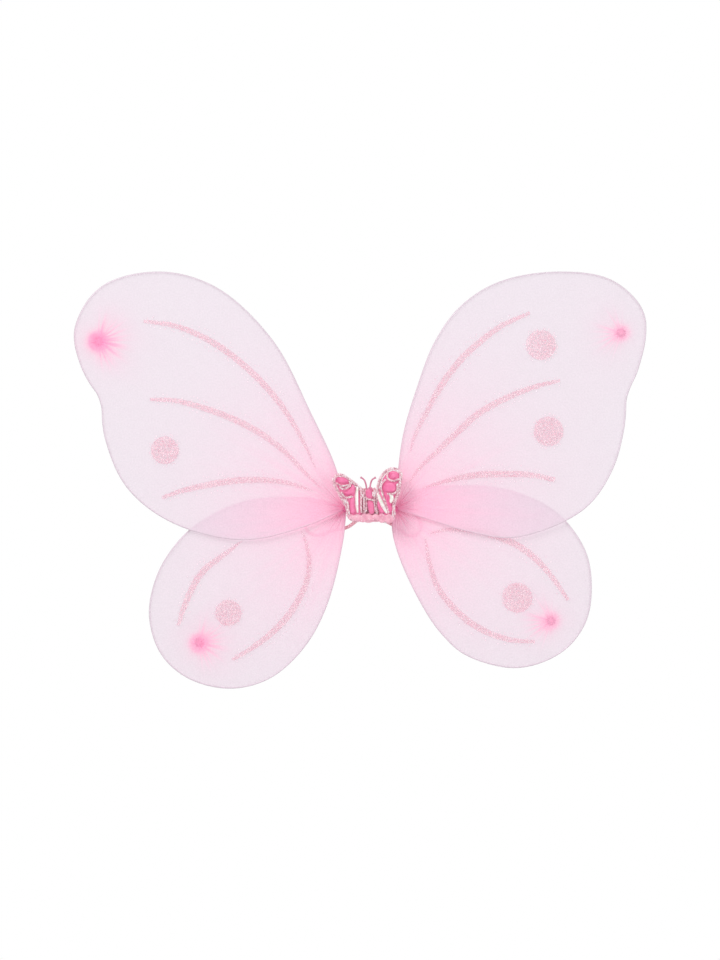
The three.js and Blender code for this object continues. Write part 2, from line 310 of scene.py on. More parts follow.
def turned(profile: Places, sides: int,
           ripple: Callable[[float, float], float] = lambda angle, along: 1.0) -> Surface:
    """A shape turned about +Z from (radius, along) points that start and end on the axis.

    Args:
        profile: The points of its outer line.
        sides: How many faces it has round it.
        ripple: What the radius is multiplied by, at an angle and a place along.

    Returns:
        The closed shape.
    """
    surface = Surface()
    rings = []
    for radius, along in profile:
        ring = []
        for side in range(sides if radius > 0 else 1):
            angle = 2 * math.pi * side / sides
            reach = radius * ripple(angle, along)
            ring.append(len(surface.points))
            surface.points.append(Vector((reach * math.cos(angle), reach * math.sin(angle), along)))
        rings.append(ring)
    for low, high in zip(rings, rings[1:]):
        for side in range(sides):
            after = (side + 1) % sides
            corners = [low[side % len(low)], low[after % len(low)],
                       high[after % len(high)], high[side % len(high)]]
            face = tuple(dict.fromkeys(corners))
            if len(face) > 2:
                surface.faces.append(face)
    return surface


def filled(outline: Line, inner: Line) -> tuple[list, list, list]:
    """Fills a flat outline with triangles.

    Args:
        outline: The closed outline's points, of two numbers each.
        inner: The points inside it that the triangles use.

    Returns:
        The points, the triangles, and the outline's points in order, as places in the points.
    """
    count = len(outline)
    points, _, faces, origins, _, _ = geometry.delaunay_2d_cdt(
        [*outline, *inner], [], [list(range(count))], 1, 1e-7)
    rim = [0] * count
    for place, given in enumerate(origins):
        for index in given:
            if index < count:
                rim[index] = place
    return points, faces, rim


def edge_distance(points: Line, outline: Line) -> np.ndarray:
    """How far each flat point is from a closed outline."""
    start = np.array([tuple(point)[:2] for point in outline])
    run = np.roll(start, -1, axis=0) - start
    square = (run ** 2).sum(axis=1)
    nearest = []
    for point in points:
        step = np.array(tuple(point)[:2]) - start
        share = np.clip((step * run).sum(axis=1) / square, 0, 1)
        nearest.append(np.sqrt(((step - run * share[:, None]) ** 2).sum(axis=1).min()))
    return np.array(nearest)


def joined_pairs(outline: Sequence) -> zip:
    """Each item of a closed outline with the next, and the last with the first."""
    return zip(outline, [*outline[1:], outline[0]])


def inside(point: Vector, outline: Line) -> bool:
    """Whether a flat point lies inside a closed outline."""
    crossed = False
    for near, far in joined_pairs(outline):
        if (near.y > point.y) != (far.y > point.y):
            reach = near.x + (point.y - near.y) * (far.x - near.x) / (far.y - near.y)
            crossed ^= point.x < reach
    return crossed


def inner_grid(outline: Line, spacing: float, margin: float) -> list[Vector]:
    """An even triangular grid of points inside an outline, no nearer to it than a margin."""
    low = Vector((min(p.x for p in outline), min(p.y for p in outline)))
    high = Vector((max(p.x for p in outline), max(p.y for p in outline)))
    rise = spacing * math.sqrt(3) / 2
    points = []
    for row in range(int((high.y - low.y) / rise) + 1):
        for column in range(int((high.x - low.x) / spacing) + 2):
            point = Vector((low.x + (column + row % 2 / 2) * spacing, low.y + row * rise))
            if inside(point, outline):
                points.append(point)
    gaps = edge_distance(points, outline) if points else []
    return [point for point, gap in zip(points, gaps) if gap > margin]


def offset_line(outline: Line, distance: float) -> list[Vector]:
    """A closed flat outline moved outwards by a distance, or inwards by a negative one."""
    turn = math.copysign(1, signed_area(outline))
    moved = []
    for index, point in enumerate(outline):
        along = (outline[(index + 1) % len(outline)] - outline[index - 1]).normalized()
        moved.append(point + Vector((along.y, -along.x)) * (turn * distance))
    return moved


def signed_area(outline: Line) -> float:
    """Twice the area inside a closed flat outline, negative where it runs clockwise."""
    return sum(near.x * far.y - far.x * near.y for near, far in joined_pairs(outline))


def front_loop(node: str) -> list[Vector]:
    """The outer edge of a CAD node's front face, as a loop of points."""
    grid = bmesh.new()
    grid.from_mesh(frame["nodes"][node].data)
    bmesh.ops.remove_doubles(grid, verts=grid.verts, dist=1e-6)
    grid.normal_update()
    front = {face for face in grid.faces if face.normal.dot(FORWARD) > 0.8}
    joined: dict[bmesh.types.BMVert, list] = {}
    for edge in grid.edges:
        if sum(face in front for face in edge.link_faces) == 1:
            for vertex in edge.verts:
                joined.setdefault(vertex, []).append(edge.other_vert(vertex))
    start = min(joined, key=lambda vertex: tuple(vertex.co))
    loop, before, here = [], None, start
    while True:
        loop.append(here.co.copy())
        step = next(other for other in joined[here] if other is not before)
        before, here = here, step
        if here is start:
            break
    grid.free()
    return loop


def flat(points: Line) -> list[Vector]:
    """Points as (x, z) pairs."""
    return [Vector((point.x, point.z)) for point in points]


# ------------------------------------------------------------------------------ node trees


def linear(colour: str) -> tuple[float, float, float, float]:
    """An sRGB hex colour as linear RGBA."""
    parts = [int(colour[index:index + 2], 16) / 255 for index in (1, 3, 5)]
    return (*((part / 12.92 if part <= 0.04045 else ((part + 0.055) / 1.055) ** 2.4)
              for part in parts), 1.0)


def add_node(tree: Tree, kind: str, inputs: dict | None = None, **settings) -> Node:
    """Adds one node with its settings, values and links.

    Args:
        tree: The tree it goes in.
        kind: The node's Blender type name.
        inputs: What each input takes, by name or place: a value, or the socket that feeds it.
        **settings: The node's own properties, and a colour ramp's stops of place and hex colour.

    Returns:
        The node.
    """
    node = tree.nodes.new(kind)
    for index, (place, colour) in enumerate(settings.pop("stops", ())):
        elements = node.color_ramp.elements
        element = elements[index] if index < len(elements) else elements.new(place)
        element.position, element.color = place, linear(colour)
    for name, value in settings.items():
        setattr(node, name, value)
    for name, value in (inputs or {}).items():
        if isinstance(value, Socket):
            tree.links.new(value, node.inputs[name])
        else:
            node.inputs[name].default_value = value
    return node


@dataclass(frozen=True)
class Finish:
    """What every finish shares: its name and how its shader is put together."""

    name: str

    def material(self) -> bpy.types.Material:
        """The finish's material, made the first time it is asked for."""
        found = bpy.data.materials.get(self.name)
        if found:
            return found
        made = bpy.data.materials.new(self.name)
        made.use_nodes = True
        tree = made.node_tree
        tree.nodes.clear()
        shader = add_node(tree, "ShaderNodeBsdfPrincipled")
        add_node(tree, "ShaderNodeOutputMaterial", {"Surface": shader.outputs["BSDF"]})
        self.dress(tree, shader)
        return made

    def dress(self, tree: Tree, shader: Node) -> None:
        """Sets the shader's values and patterns."""
        raise NotImplementedError


def set_values(shader: Node, **values: float | tuple) -> None:
    """Sets a shader's own sockets, each named with underscores for spaces."""
    for name, value in values.items():
        shader.inputs[name.replace("_", " ")].default_value = value


def grain(tree: Tree, width: float, detail: float, roughness: float = 0.5) -> Socket:
    """A cloudy grain through a piece, of a real width and with finer grains in it."""
    place = add_node(tree, "ShaderNodeTexCoord").outputs["Object"]
    return add_node(tree, "ShaderNodeTexNoise", {
        "Vector": place, "Scale": 1 / width, "Detail": detail, "Roughness": roughness,
    }).outputs["Fac"]


def colour_by(tree: Tree, shader: Node, pattern: Socket,
              stops: Sequence[tuple[float, str]]) -> None:
    """Colours a surface by a pattern, over stops of place and hex colour."""
    colour = add_node(tree, "ShaderNodeValToRGB", {"Fac": pattern}, stops=stops)
    tree.links.new(colour.outputs["Color"], shader.inputs["Base Color"])


def raise_by(tree: Tree, shader: Node, pattern: Socket, strength: float, depth: float) -> None:
    """Lets a surface's light and shade follow a pattern's height."""
    relief = add_node(tree, "ShaderNodeBump", {
        "Height": pattern, "Strength": strength, "Distance": depth})
    tree.links.new(relief.outputs["Normal"], shader.inputs["Normal"])


@dataclass(frozen=True)
class SheerNylon(Finish):
    """Knitted stocking nylon, stretched: a cool thin veil far out and a warmer one near the root,
    bunched into denser, pinker rays at the root and into a strong pink star at the tip."""

    far: str = "#E1D5DF"
    near: str = "#EAD4E1"
    bunched: str = "#F8C3DA"
    packed: str = "#F693BC"
    star: str = "#FF9CC6"
    thin_cover: float = 0.46
    packed_cover: float = 0.93
    wale_width: float = 1.4 * MM

    def dress(self, tree: Tree, shader: Node) -> None:
        """Sets the shader's values and patterns."""
        gather, fan, blush, tip = (
            add_node(tree, "ShaderNodeAttribute", attribute_name=name).outputs["Fac"]
            for name in ("gather", "fan", "blush", "tip"))
        swing = add_node(tree, "ShaderNodeMath", {
            0: self._rays(tree, "root_ray", 11.0), 1: 1.5, 2: 0.25}, operation="MULTIPLY_ADD")
        rays = add_node(tree, "ShaderNodeMath", {0: swing.outputs[0], 1: gather},
                        operation="MULTIPLY").outputs[0]
        ridge = add_node(tree, "ShaderNodeMapRange", {
            "Value": self._rays(tree, "knot_ray", 9.0), "From Min": 0.46, "From Max": 0.66,
        }).outputs["Result"]
        density = add_node(tree, "ShaderNodeMath", {0: ridge, 1: fan, 2: rays},
                           operation="MULTIPLY_ADD", use_clamp=True).outputs[0]
        veil = self._mixed(tree, blush, linear(self.far), linear(self.near))
        folds = add_node(tree, "ShaderNodeValToRGB", {"Fac": density}, stops=[
            (0.0, self.bunched), (0.45, self.bunched), (1.0, self.packed)]).outputs["Color"]
        colour = self._mixed(tree, self._share(tree, density, 0.35), veil, folds)
        starry = add_node(tree, "ShaderNodeMath", {0: self._share(tree, density, 0.2), 1: tip},
                          operation="MULTIPLY").outputs[0]
        colour = self._mixed(tree, starry, colour, linear(self.star))
        knit = grain(tree, self.wale_width, 1.0)
        bunching = add_node(tree, "ShaderNodeMath", {0: density, 1: 0.7}, operation="POWER")
        cover = add_node(tree, "ShaderNodeMapRange", {
            "Value": bunching.outputs[0], "To Min": self.thin_cover,
            "To Max": self.packed_cover}).outputs["Result"]
        mottle = add_node(tree, "ShaderNodeMapRange", {
            "Value": knit, "From Min": 0.3, "From Max": 0.7, "To Min": 0.93, "To Max": 1.07,
        }).outputs["Result"]
        alpha = add_node(tree, "ShaderNodeMath", {0: cover, 1: mottle}, operation="MULTIPLY",
                         use_clamp=True).outputs[0]
        tree.links.new(colour, shader.inputs["Base Color"])
        tree.links.new(alpha, shader.inputs["Alpha"])
        raise_by(tree, shader, knit, 0.1, 0.2 * MM)
        set_values(shader, Roughness=0.65, IOR=1.5, Sheen_Weight=0.1, Sheen_Roughness=0.5,
                   Specular_IOR_Level=0.2)

    @staticmethod
    def _share(tree: Tree, value: Socket, full: float) -> Socket:
        """How much of a full amount a value is, up to 1."""
        return add_node(tree, "ShaderNodeMath", {0: value, 1: 1 / full}, operation="MULTIPLY",
                        use_clamp=True).outputs[0]

    @staticmethod
    def _mixed(tree: Tree, share: Socket, low: tuple | Socket, high: tuple | Socket) -> Socket:
        """A colour a share of the way from one to another."""
        return add_node(tree, "ShaderNodeMix", {0: share, 6: low, 7: high},
                        data_type="RGBA").outputs[2]

    @staticmethod
    def _rays(tree: Tree, attribute: str, fineness: float) -> Socket:
        """Streaks that fan out from a gather, from the way each point lies from it."""
        ray = add_node(tree, "ShaderNodeAttribute", attribute_name=attribute).outputs["Vector"]
        way = add_node(tree, "ShaderNodeVectorMath", {0: ray}, operation="NORMALIZE")
        return add_node(tree, "ShaderNodeTexNoise", {
            "Vector": way.outputs["Vector"], "Scale": fineness, "Detail": 2.0, "Roughness": 0.5,
        }).outputs["Fac"]


@dataclass(frozen=True)
class GatheredNylon(Finish):
    """The same nylon bunched in many layers: opaque, matt and strong pink, with painted shade in
    its fold hollows.
    """

    # The first colour is painted shade laid in the fold hollows, the second painted light laid on
    # the fold tops.
    painted_fold_shade: str = "#D95C8E"
    top: str = "#F184B1"
    fold_width: float = 0.8 * MM

    def dress(self, tree: Tree, shader: Node) -> None:
        """Sets the shader's values and patterns."""
        folds = grain(tree, self.fold_width, 2.0)
        # Painted shade and light: the colour follows the same pattern the bump raises, darker pink
        # low and lighter pink high.
        colour_by(tree, shader, folds, [(0.35, self.painted_fold_shade), (0.65, self.top)])
        raise_by(tree, shader, folds, 0.4, 0.3 * MM)
        set_values(shader, Roughness=0.75, IOR=1.5, Specular_IOR_Level=0.2)


@dataclass(frozen=True)
class Satin(Finish):
    """Woven polyester satin: long floats across the cloth give it a smooth, directional gloss."""

    colour: str = "#F481AF"
    shade: str = "#E9689C"
    float_width: float = 0.5 * MM
    cloud_width: float = 4.545 * MM
    gloss: float = 0.5

    def dress(self, tree: Tree, shader: Node) -> None:
        """Sets the shader's values and patterns."""
        place = add_node(tree, "ShaderNodeTexCoord").outputs["Object"]
        floats = add_node(tree, "ShaderNodeTexWave", {
            "Vector": place, "Scale": 1 / (self.float_width * WAVE_BAND), "Distortion": 1.5,
            "Detail": 1.0}, bands_direction="Z").outputs["Fac"]
        colour_by(tree, shader, grain(tree, self.cloud_width, 3.0),
                  [(0.3, self.shade), (0.6, self.colour)])
        raise_by(tree, shader, floats, 0.12, 0.1 * MM)
        set_values(shader, Roughness=0.36, IOR=1.5, Specular_IOR_Level=self.gloss,
                   Sheen_Weight=0.2, Sheen_Roughness=0.35, Anisotropic=0.6)


@dataclass(frozen=True)
class PearlFoil(Finish):
    """Pearlised film over satin: white with a faint pink and green cast and a sharp gloss."""

    pink: str = "#F4D9E0"
    white: str = "#FFFBF8"
    green: str = "#EAF0E2"
    cast_width: float = 3.333 * MM

    def dress(self, tree: Tree, shader: Node) -> None:
        """Sets the shader's values and patterns."""
        cloud = grain(tree, self.cast_width, 2.0)
        colour_by(tree, shader, cloud, [(0.35, self.pink), (0.5, self.white), (0.68, self.green)])
        raise_by(tree, shader, cloud, 0.3, 0.4 * MM)
        set_values(shader, Roughness=0.18, IOR=1.55, Metallic=0.2, Coat_Weight=0.6,
                   Coat_Roughness=0.08)


@dataclass(frozen=True)
class Glitter(Finish):
    """Cut flakes of metallised polyester film, silver and pink and mirror-like: each flake's colour
    is drawn at random from dark pink to near white, partly their own mix and partly painted glints
    of their reflections, so a patch reads as fine light and dark grain."""

    dark: str = "#EEAABF"
    middle: str = "#F5C4D3"
    light: str = "#FDEAF0"

    def dress(self, tree: Tree, shader: Node) -> None:
        """Sets the shader's values and patterns."""
        # Each flake's random value picks its colour from dark to light: partly the flakes' own
        # silver and pink mix, partly painted glints standing in for their reflections.
        tint_and_glint = add_node(tree, "ShaderNodeAttribute", attribute_name="tint_and_glint").outputs["Fac"]
        colour_by(tree, shader, tint_and_glint, [(0.0, self.dark), (0.5, self.middle), (1.0, self.light)])
        set_values(shader, Roughness=0.5, Metallic=0.15)


@dataclass(frozen=True)
class GlitterBinder(Finish):
    """The clear binder that holds the flakes: a thin pink-tinted film with a cloudy edge to it."""

    tint: str = "#E9AFC5"
    light: str = "#F7C6D5"
    cover: float = 0.13
    cloud_width: float = 2.2 * MM

    def dress(self, tree: Tree, shader: Node) -> None:
        """Sets the shader's values and patterns."""
        cloud = grain(tree, self.cloud_width, 2.0)
        alpha = add_node(tree, "ShaderNodeMapRange", {
            "Value": cloud, "From Min": 0.3, "From Max": 0.7, "To Min": 0.6 * self.cover,
            "To Max": 1.4 * self.cover}).outputs["Result"]
        colour_by(tree, shader, cloud, [(0.3, self.tint), (0.7, self.light)])
        tree.links.new(alpha, shader.inputs["Alpha"])
        set_values(shader, Roughness=0.4, IOR=1.5)


@dataclass(frozen=True)
class Thread(Finish):
    """Twisted polyester thread: fine slanting strands with a soft shine."""

    colour: str = "#F48DB6"
    # The shade colour is painted shade for the grooves between the strands.
    shade: str = "#D5638F"
    strand_width: float = 0.4 * MM

    def dress(self, tree: Tree, shader: Node) -> None:
        """Sets the shader's values and patterns."""
        place = add_node(tree, "ShaderNodeTexCoord").outputs["Object"]
        strands = add_node(tree, "ShaderNodeTexWave", {
            "Vector": place, "Scale": 1 / (self.strand_width * WAVE_BAND), "Distortion": 2.0,
        }, bands_direction="DIAGONAL").outputs["Fac"]
        # Painted shade: the darker shade colour falls in the grooves between the strands, the low
        # parts of the same bands the bump raises.
        colour_by(tree, shader, strands, [(0.1, self.shade), (0.6, self.colour)])
        raise_by(tree, shader, strands, 0.4, 0.15 * MM)
        set_values(shader, Roughness=0.55, IOR=1.5, Sheen_Weight=0.2)


@dataclass(frozen=True)
class Felt(Finish):
    """Needled polyester felt: a matt, slightly fuzzy face, its colour darker where the fibre relief
    is low.
    """

    colour: str = "#F6BFD4"
    shade: str = "#E9A3BE"
    fibre_width: float = 0.6 * MM

    def dress(self, tree: Tree, shader: Node) -> None:
        """Sets the shader's values and patterns."""
        fibres = grain(tree, self.fibre_width, 5.0, 0.7)
        # The colour follows the fibre relief: darker where it is low, lighter where it is high.
        colour_by(tree, shader, fibres, [(0.35, self.shade), (0.62, self.colour)])
        raise_by(tree, shader, fibres, 0.7, 0.3 * MM)
        set_values(shader, Roughness=0.95, IOR=1.45, Sheen_Weight=0.4, Sheen_Roughness=0.6)


@dataclass(frozen=True)
class CoveredElastic(Finish):
    """Braided cover over a rubber core: crossing yarns that dimple the round cord."""

    colour: str = "#F0BFCD"
    # The shade colour is painted shade for the dimples between the yarns.
    shade: str = "#D9929F"
    yarn_pitch: float = 1.1 * MM

    def dress(self, tree: Tree, shader: Node) -> None:
        """Sets the shader's values and patterns."""
        along = add_node(tree, "ShaderNodeTexCoord").outputs["UV"]
        slants = []
        for lean in (1.0, -1.0):
            tilted = add_node(tree, "ShaderNodeMapping", {
                "Vector": along, "Rotation": (0.0, 0.0, lean * math.radians(35))})
            slants.append(add_node(tree, "ShaderNodeTexWave", {
                "Vector": tilted.outputs["Vector"], "Scale": 1 / (self.yarn_pitch * WAVE_BAND),
            }, bands_direction="Y").outputs["Fac"])
        weave = add_node(tree, "ShaderNodeMath", {0: slants[0], 1: slants[1]},
                         operation="MULTIPLY").outputs[0]
        # Painted shade: the darker shade colour sits in the dimples between the crossing yarns,
        # where the same weave is low in the bump.
        colour_by(tree, shader, weave, [(0.05, self.shade), (0.45, self.colour)])
        raise_by(tree, shader, weave, 0.6, 0.25 * MM)
        set_values(shader, Roughness=0.75, IOR=1.5, Sheen_Weight=0.25)


@dataclass(frozen=True)
class SpringSteel(Finish):
    """Drawn spring-steel wire, bright and a little grey, with fine lengthways draw marks."""

    colour: str = "#F1E8EE"
    shade: str = "#DDD0D8"
    mark_width: float = 0.5 * MM

    def dress(self, tree: Tree, shader: Node) -> None:
        """Sets the shader's values and patterns."""
        marks = grain(tree, self.mark_width, 3.0)
        rough = add_node(tree, "ShaderNodeMapRange", {
            "Value": marks, "To Min": 0.28, "To Max": 0.5}).outputs["Result"]
        colour_by(tree, shader, marks, [(0.3, self.shade), (0.7, self.colour)])
        tree.links.new(rough, shader.inputs["Roughness"])
        set_values(shader, Metallic=0.3)


@dataclass(frozen=True)
class StudioPaper(Finish):
    """The pale paper sweep that the wings hang above."""

    def dress(self, tree: Tree, shader: Node) -> None:
        """Sets the shader's values and patterns."""
        set_values(shader, Base_Color=linear("#FAFAFA"), Roughness=0.9)


SHEER = SheerNylon("knitted_sheer_nylon")
# In both bunched nylons the first colour is painted shade in the fold hollows and the second
# painted light on the fold tops.
GATHERED = GatheredNylon("bunched_nylon")
TAILS = GatheredNylon("tail_nylon", painted_fold_shade="#EC96BA", top="#FABAD2")
HOT_SATIN = Satin("hot_pink_satin")
BODY_SATIN = Satin("body_satin_cord", colour="#F27FAC", shade="#DF6797", float_width=0.4 * MM)
FEELER_SATIN = Satin("feeler_satin_cord", colour="#DB8DA9", shade="#C8708F", float_width=0.4 * MM)
PALE_SATIN = Satin("pale_pink_satin", colour="#F5B7C9", shade="#E497B0", gloss=0.6)
FOIL = PearlFoil("pearl_foil")
# Both glitters draw each flake's colour at random between dark and light: partly their own mix of
# colours, partly painted glints; the rope's pure white is painted glint.
FLAKES = Glitter("polyester_glitter")
BRAID_FLAKES = Glitter("silver_pink_rope", dark="#D39DAE", middle="#F8D3DB", light="#FFFFFF")
FILM = GlitterBinder("tinted_glitter_binder")
BINDING = Thread("polyester_thread")
FELT = Felt("needled_felt")
ELASTIC = CoveredElastic("braided_elastic")
STEEL = SpringSteel("spring_steel_wire")
PAPER = StudioPaper("studio_paper")


def dress(piece: Piece, finish: Finish) -> None:
    """Gives a piece one finish all over."""
    piece.data.materials.clear()
    piece.data.materials.append(finish.material())


def place_piece(piece: Piece, finish: Finish, body: str, slot: str, *stands_for: str) -> Piece:
    """Dresses a piece and tells the frame where it belongs.

    Args:
        piece: The finished mesh object.
        finish: What it is covered in.
        body: The CAD body it moves with.
        slot: Not used.
        *stands_for: The CAD nodes it replaces.

    Returns:
        The piece.
    """
    dress(piece, finish)
    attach(piece, body)
    if stands_for:
        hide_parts(*stands_for)
    LOG.info("%s: %d faces", piece.name, len(piece.data.polygons))
    return piece


# ------------------------------------------------------------------------------ repeats


def new_tree(name: str, sockets: Sequence[tuple[str, str]]) -> tuple[Tree, Node, Node]:
    """Starts a Geometry Nodes tree with a geometry input and output and named inputs.

    Args:
        name: The tree's name.
        sockets: Each further input's name and socket type.

    Returns:
        The tree, its input node and its output node.
    """
    tree = bpy.data.node_groups.new(name, "GeometryNodeTree")
    tree.interface.new_socket("Geometry", in_out="INPUT", socket_type="NodeSocketGeometry")
    for label, kind in sockets:
        tree.interface.new_socket(label, in_out="INPUT", socket_type=kind)
    tree.interface.new_socket("Geometry", in_out="OUTPUT", socket_type="NodeSocketGeometry")
    return tree, tree.nodes.new("NodeGroupInput"), tree.nodes.new("NodeGroupOutput")


def finish_tree(tree: Tree, end: Node, instances: Socket, material: Socket, seed: Socket) -> None:
    """Gives each instance a random tint and painted glint, makes them real and sets their material.
    """
    tint_and_glint = add_node(tree, "FunctionNodeRandomValue", {"Seed": seed}, data_type="FLOAT")
    stored = add_node(tree, "GeometryNodeStoreNamedAttribute", {
        "Geometry": instances, "Name": "tint_and_glint", "Value": tint_and_glint.outputs[1],
    }, data_type="FLOAT", domain="INSTANCE")
    real = add_node(tree, "GeometryNodeRealizeInstances", {
        "Geometry": stored.outputs["Geometry"]})
    covered = add_node(tree, "GeometryNodeSetMaterial", {
        "Geometry": real.outputs["Geometry"], "Material": material})
    tree.links.new(covered.outputs["Geometry"], end.inputs["Geometry"])


def flake_tree() -> Tree:
    """The tree that scatters six-sided flakes over a surface, thinner where cover is low."""
    found = bpy.data.node_groups.get("scatter_flakes")
    if found:
        return found
    tree, start, end = new_tree("scatter_flakes", [
        ("Density", "NodeSocketFloat"), ("Radius", "NodeSocketFloat"),
        ("Thickness", "NodeSocketFloat"), ("Tilt", "NodeSocketFloat"),
        ("Material", "NodeSocketMaterial"), ("Seed", "NodeSocketInt")])
    given = start.outputs
    cover = add_node(tree, "GeometryNodeInputNamedAttribute", {"Name": "cover"},
                     data_type="FLOAT").outputs[0]
    amount = add_node(tree, "ShaderNodeMath", {0: given["Density"], 1: cover},
                      operation="MULTIPLY").outputs[0]
    spots = add_node(tree, "GeometryNodeDistributePointsOnFaces", {
        "Mesh": given["Geometry"], "Density": amount, "Seed": given["Seed"]},
        distribute_method="RANDOM")
    flake = add_node(tree, "GeometryNodeMeshCylinder", {
        "Vertices": 6, "Radius": given["Radius"], "Depth": given["Thickness"]})
    size = add_node(tree, "FunctionNodeRandomValue", {
        2: 0.6, 3: 1.25, "Seed": given["Seed"]}, data_type="FLOAT")
    placed = add_node(tree, "GeometryNodeInstanceOnPoints", {
        "Points": spots.outputs["Points"], "Instance": flake.outputs["Mesh"],
        "Rotation": spots.outputs["Rotation"], "Scale": size.outputs[1]})
    back = add_node(tree, "ShaderNodeMath", {0: given["Tilt"], 1: -1.0}, operation="MULTIPLY")
    low = add_node(tree, "ShaderNodeCombineXYZ", {
        "X": back.outputs[0], "Y": back.outputs[0], "Z": -math.pi})
    high = add_node(tree, "ShaderNodeCombineXYZ", {
        "X": given["Tilt"], "Y": given["Tilt"], "Z": math.pi})
    lean = add_node(tree, "FunctionNodeRandomValue", {
        0: low.outputs[0], 1: high.outputs[0], "Seed": given["Seed"]}, data_type="FLOAT_VECTOR")
    leaned = add_node(tree, "GeometryNodeRotateInstances", {
        "Instances": placed.outputs["Instances"], "Rotation": lean.outputs[0]})
    finish_tree(tree, end, leaned.outputs["Instances"], given["Material"], given["Seed"])
    return tree


def rope_tree() -> Tree:
    """The tree that lays plump strands round a line, each turned on from the one before."""
    found = bpy.data.node_groups.get("lay_rope")
    if found:
        return found
    tree, start, end = new_tree("lay_rope", [
        ("Pitch", "NodeSocketFloat"), ("Strand", "NodeSocketFloat"),
        ("Offset", "NodeSocketFloat"), ("Turn", "NodeSocketFloat"),
        ("Lean", "NodeSocketFloat"), ("Material", "NodeSocketMaterial"),
        ("Seed", "NodeSocketInt")])
    given = start.outputs
    curve = add_node(tree, "GeometryNodeMeshToCurve", {"Mesh": given["Geometry"]})
    spots = add_node(tree, "GeometryNodeCurveToPoints", {
        "Curve": curve.outputs["Curve"], "Length": given["Pitch"]}, mode="LENGTH")
    ball = add_node(tree, "GeometryNodeMeshIcoSphere", {
        "Radius": given["Strand"], "Subdivisions": 2})
    strand = add_node(tree, "GeometryNodeTransform", {
        "Geometry": ball.outputs["Mesh"], "Scale": (1.0, 1.0, 2.1)})
    place = add_node(tree, "GeometryNodeInputIndex").outputs["Index"]
    spin = add_node(tree, "ShaderNodeMath", {0: place, 1: given["Turn"]}, operation="MULTIPLY")
    swing = add_node(tree, "ShaderNodeCombineXYZ", {"Z": spin.outputs[0]})
    placed = add_node(tree, "GeometryNodeInstanceOnPoints", {
        "Points": spots.outputs["Points"], "Instance": strand.outputs["Geometry"],
        "Rotation": spots.outputs["Rotation"]})
    spun = add_node(tree, "GeometryNodeRotateInstances", {
        "Instances": placed.outputs["Instances"], "Rotation": swing.outputs[0]})
    out = add_node(tree, "ShaderNodeCombineXYZ", {"X": given["Offset"]})
    moved = add_node(tree, "GeometryNodeTranslateInstances", {
        "Instances": spun.outputs["Instances"], "Translation": out.outputs[0]})
    slant = add_node(tree, "ShaderNodeCombineXYZ", {"X": given["Lean"]})
    leaned = add_node(tree, "GeometryNodeRotateInstances", {
        "Instances": moved.outputs["Instances"], "Rotation": slant.outputs[0]})
    finish_tree(tree, end, leaned.outputs["Instances"], given["Material"], given["Seed"])
    return tree


def grown(name: str, source: Piece, tree: Tree, finish: Finish, **values: float) -> Piece:
    """Runs a repeat over a source mesh and keeps the result as a plain mesh.

    Args:
        name: The new piece's name.
        source: The mesh the tree starts from, which is used up.
        tree: The Geometry Nodes tree.
        finish: What the repeats are made of.
        **values: The tree's named inputs.

    Returns:
        The new object.
    """
    modifier = source.modifiers.new("repeat", "NODES")
    modifier.node_group = tree
    values["Material"] = finish.material()
    for item in tree.interface.items_tree:
        if item.item_type == "SOCKET" and item.in_out == "INPUT" and item.name in values:
            modifier[item.identifier] = values[item.name]
    bpy.context.view_layer.update()
    graph = bpy.context.evaluated_depsgraph_get()
    mesh = bpy.data.meshes.new_from_object(
        source.evaluated_get(graph), preserve_all_data_layers=True, depsgraph=graph)
    bpy.data.objects.remove(source)
    return link(name, mesh)


def set_cover(piece: Piece, covers: Sequence[float] = ()) -> None:
    """Stores how thickly glitter covers each point of a mesh: fully, unless it is given."""
    cover = piece.data.attributes.new("cover", "FLOAT", "POINT")
    cover.data.foreach_set("value", covers or [1.0] * len(piece.data.vertices))


def sprinkle(name: str, source: Piece, body: str, density: float, radius: float, tilt: float,
             seed: int) -> None:
    """Scatters glitter flakes over a covered mesh.

    Args:
        name: The new piece's name.
        source: The covered mesh, which is used up.
        body: The CAD body the flakes move with.
        density: How many flakes a fully covered square metre holds.
        radius: A flake's radius.
        tilt: How far a flake may lean, in degrees.
        seed: The seed of the scatter.
    """
    flakes = grown(name, source, flake_tree(), FLAKES, Density=density, Radius=radius,
                   Thickness=0.06 * MM, Tilt=math.radians(tilt), Seed=seed)
    place_piece(flakes, FLAKES, body, "glitter_braid")


@dataclass(frozen=True)
class Rope:
    """Glitter rope of the butterfly: plump strands laid round a line."""

    pitch: float
    strand: float
    offset: float
    turn: float = math.radians(112)
    lean: float = math.radians(38)

    def lay(self, name: str, lines: Sequence[Line], seed: int, closed: bool = False,
            stands_for: Sequence[str] = ()) -> None:
        """Lays the rope along lines.

        Args:
            name: The new piece's name.
            lines: The lines it follows.
            seed: The seed of its strands' random tints and painted glints.
            closed: Whether each line's end joins its start.
            stands_for: The CAD nodes it replaces.
        """
        rope = grown(name, line_object("rope_line", lines, closed), rope_tree(), BRAID_FLAKES,
                     Pitch=self.pitch, Strand=self.strand, Offset=self.offset, Turn=self.turn,
                     Lean=self.lean, Seed=seed)
        place_piece(rope, BRAID_FLAKES, "centre", "glitter_braid", *stands_for)


EDGE_ROPE = Rope(pitch=0.75 * MM, strand=0.62 * MM, offset=0.72 * MM)
FINE_ROPE = Rope(pitch=0.6 * MM, strand=0.46 * MM, offset=0.46 * MM)


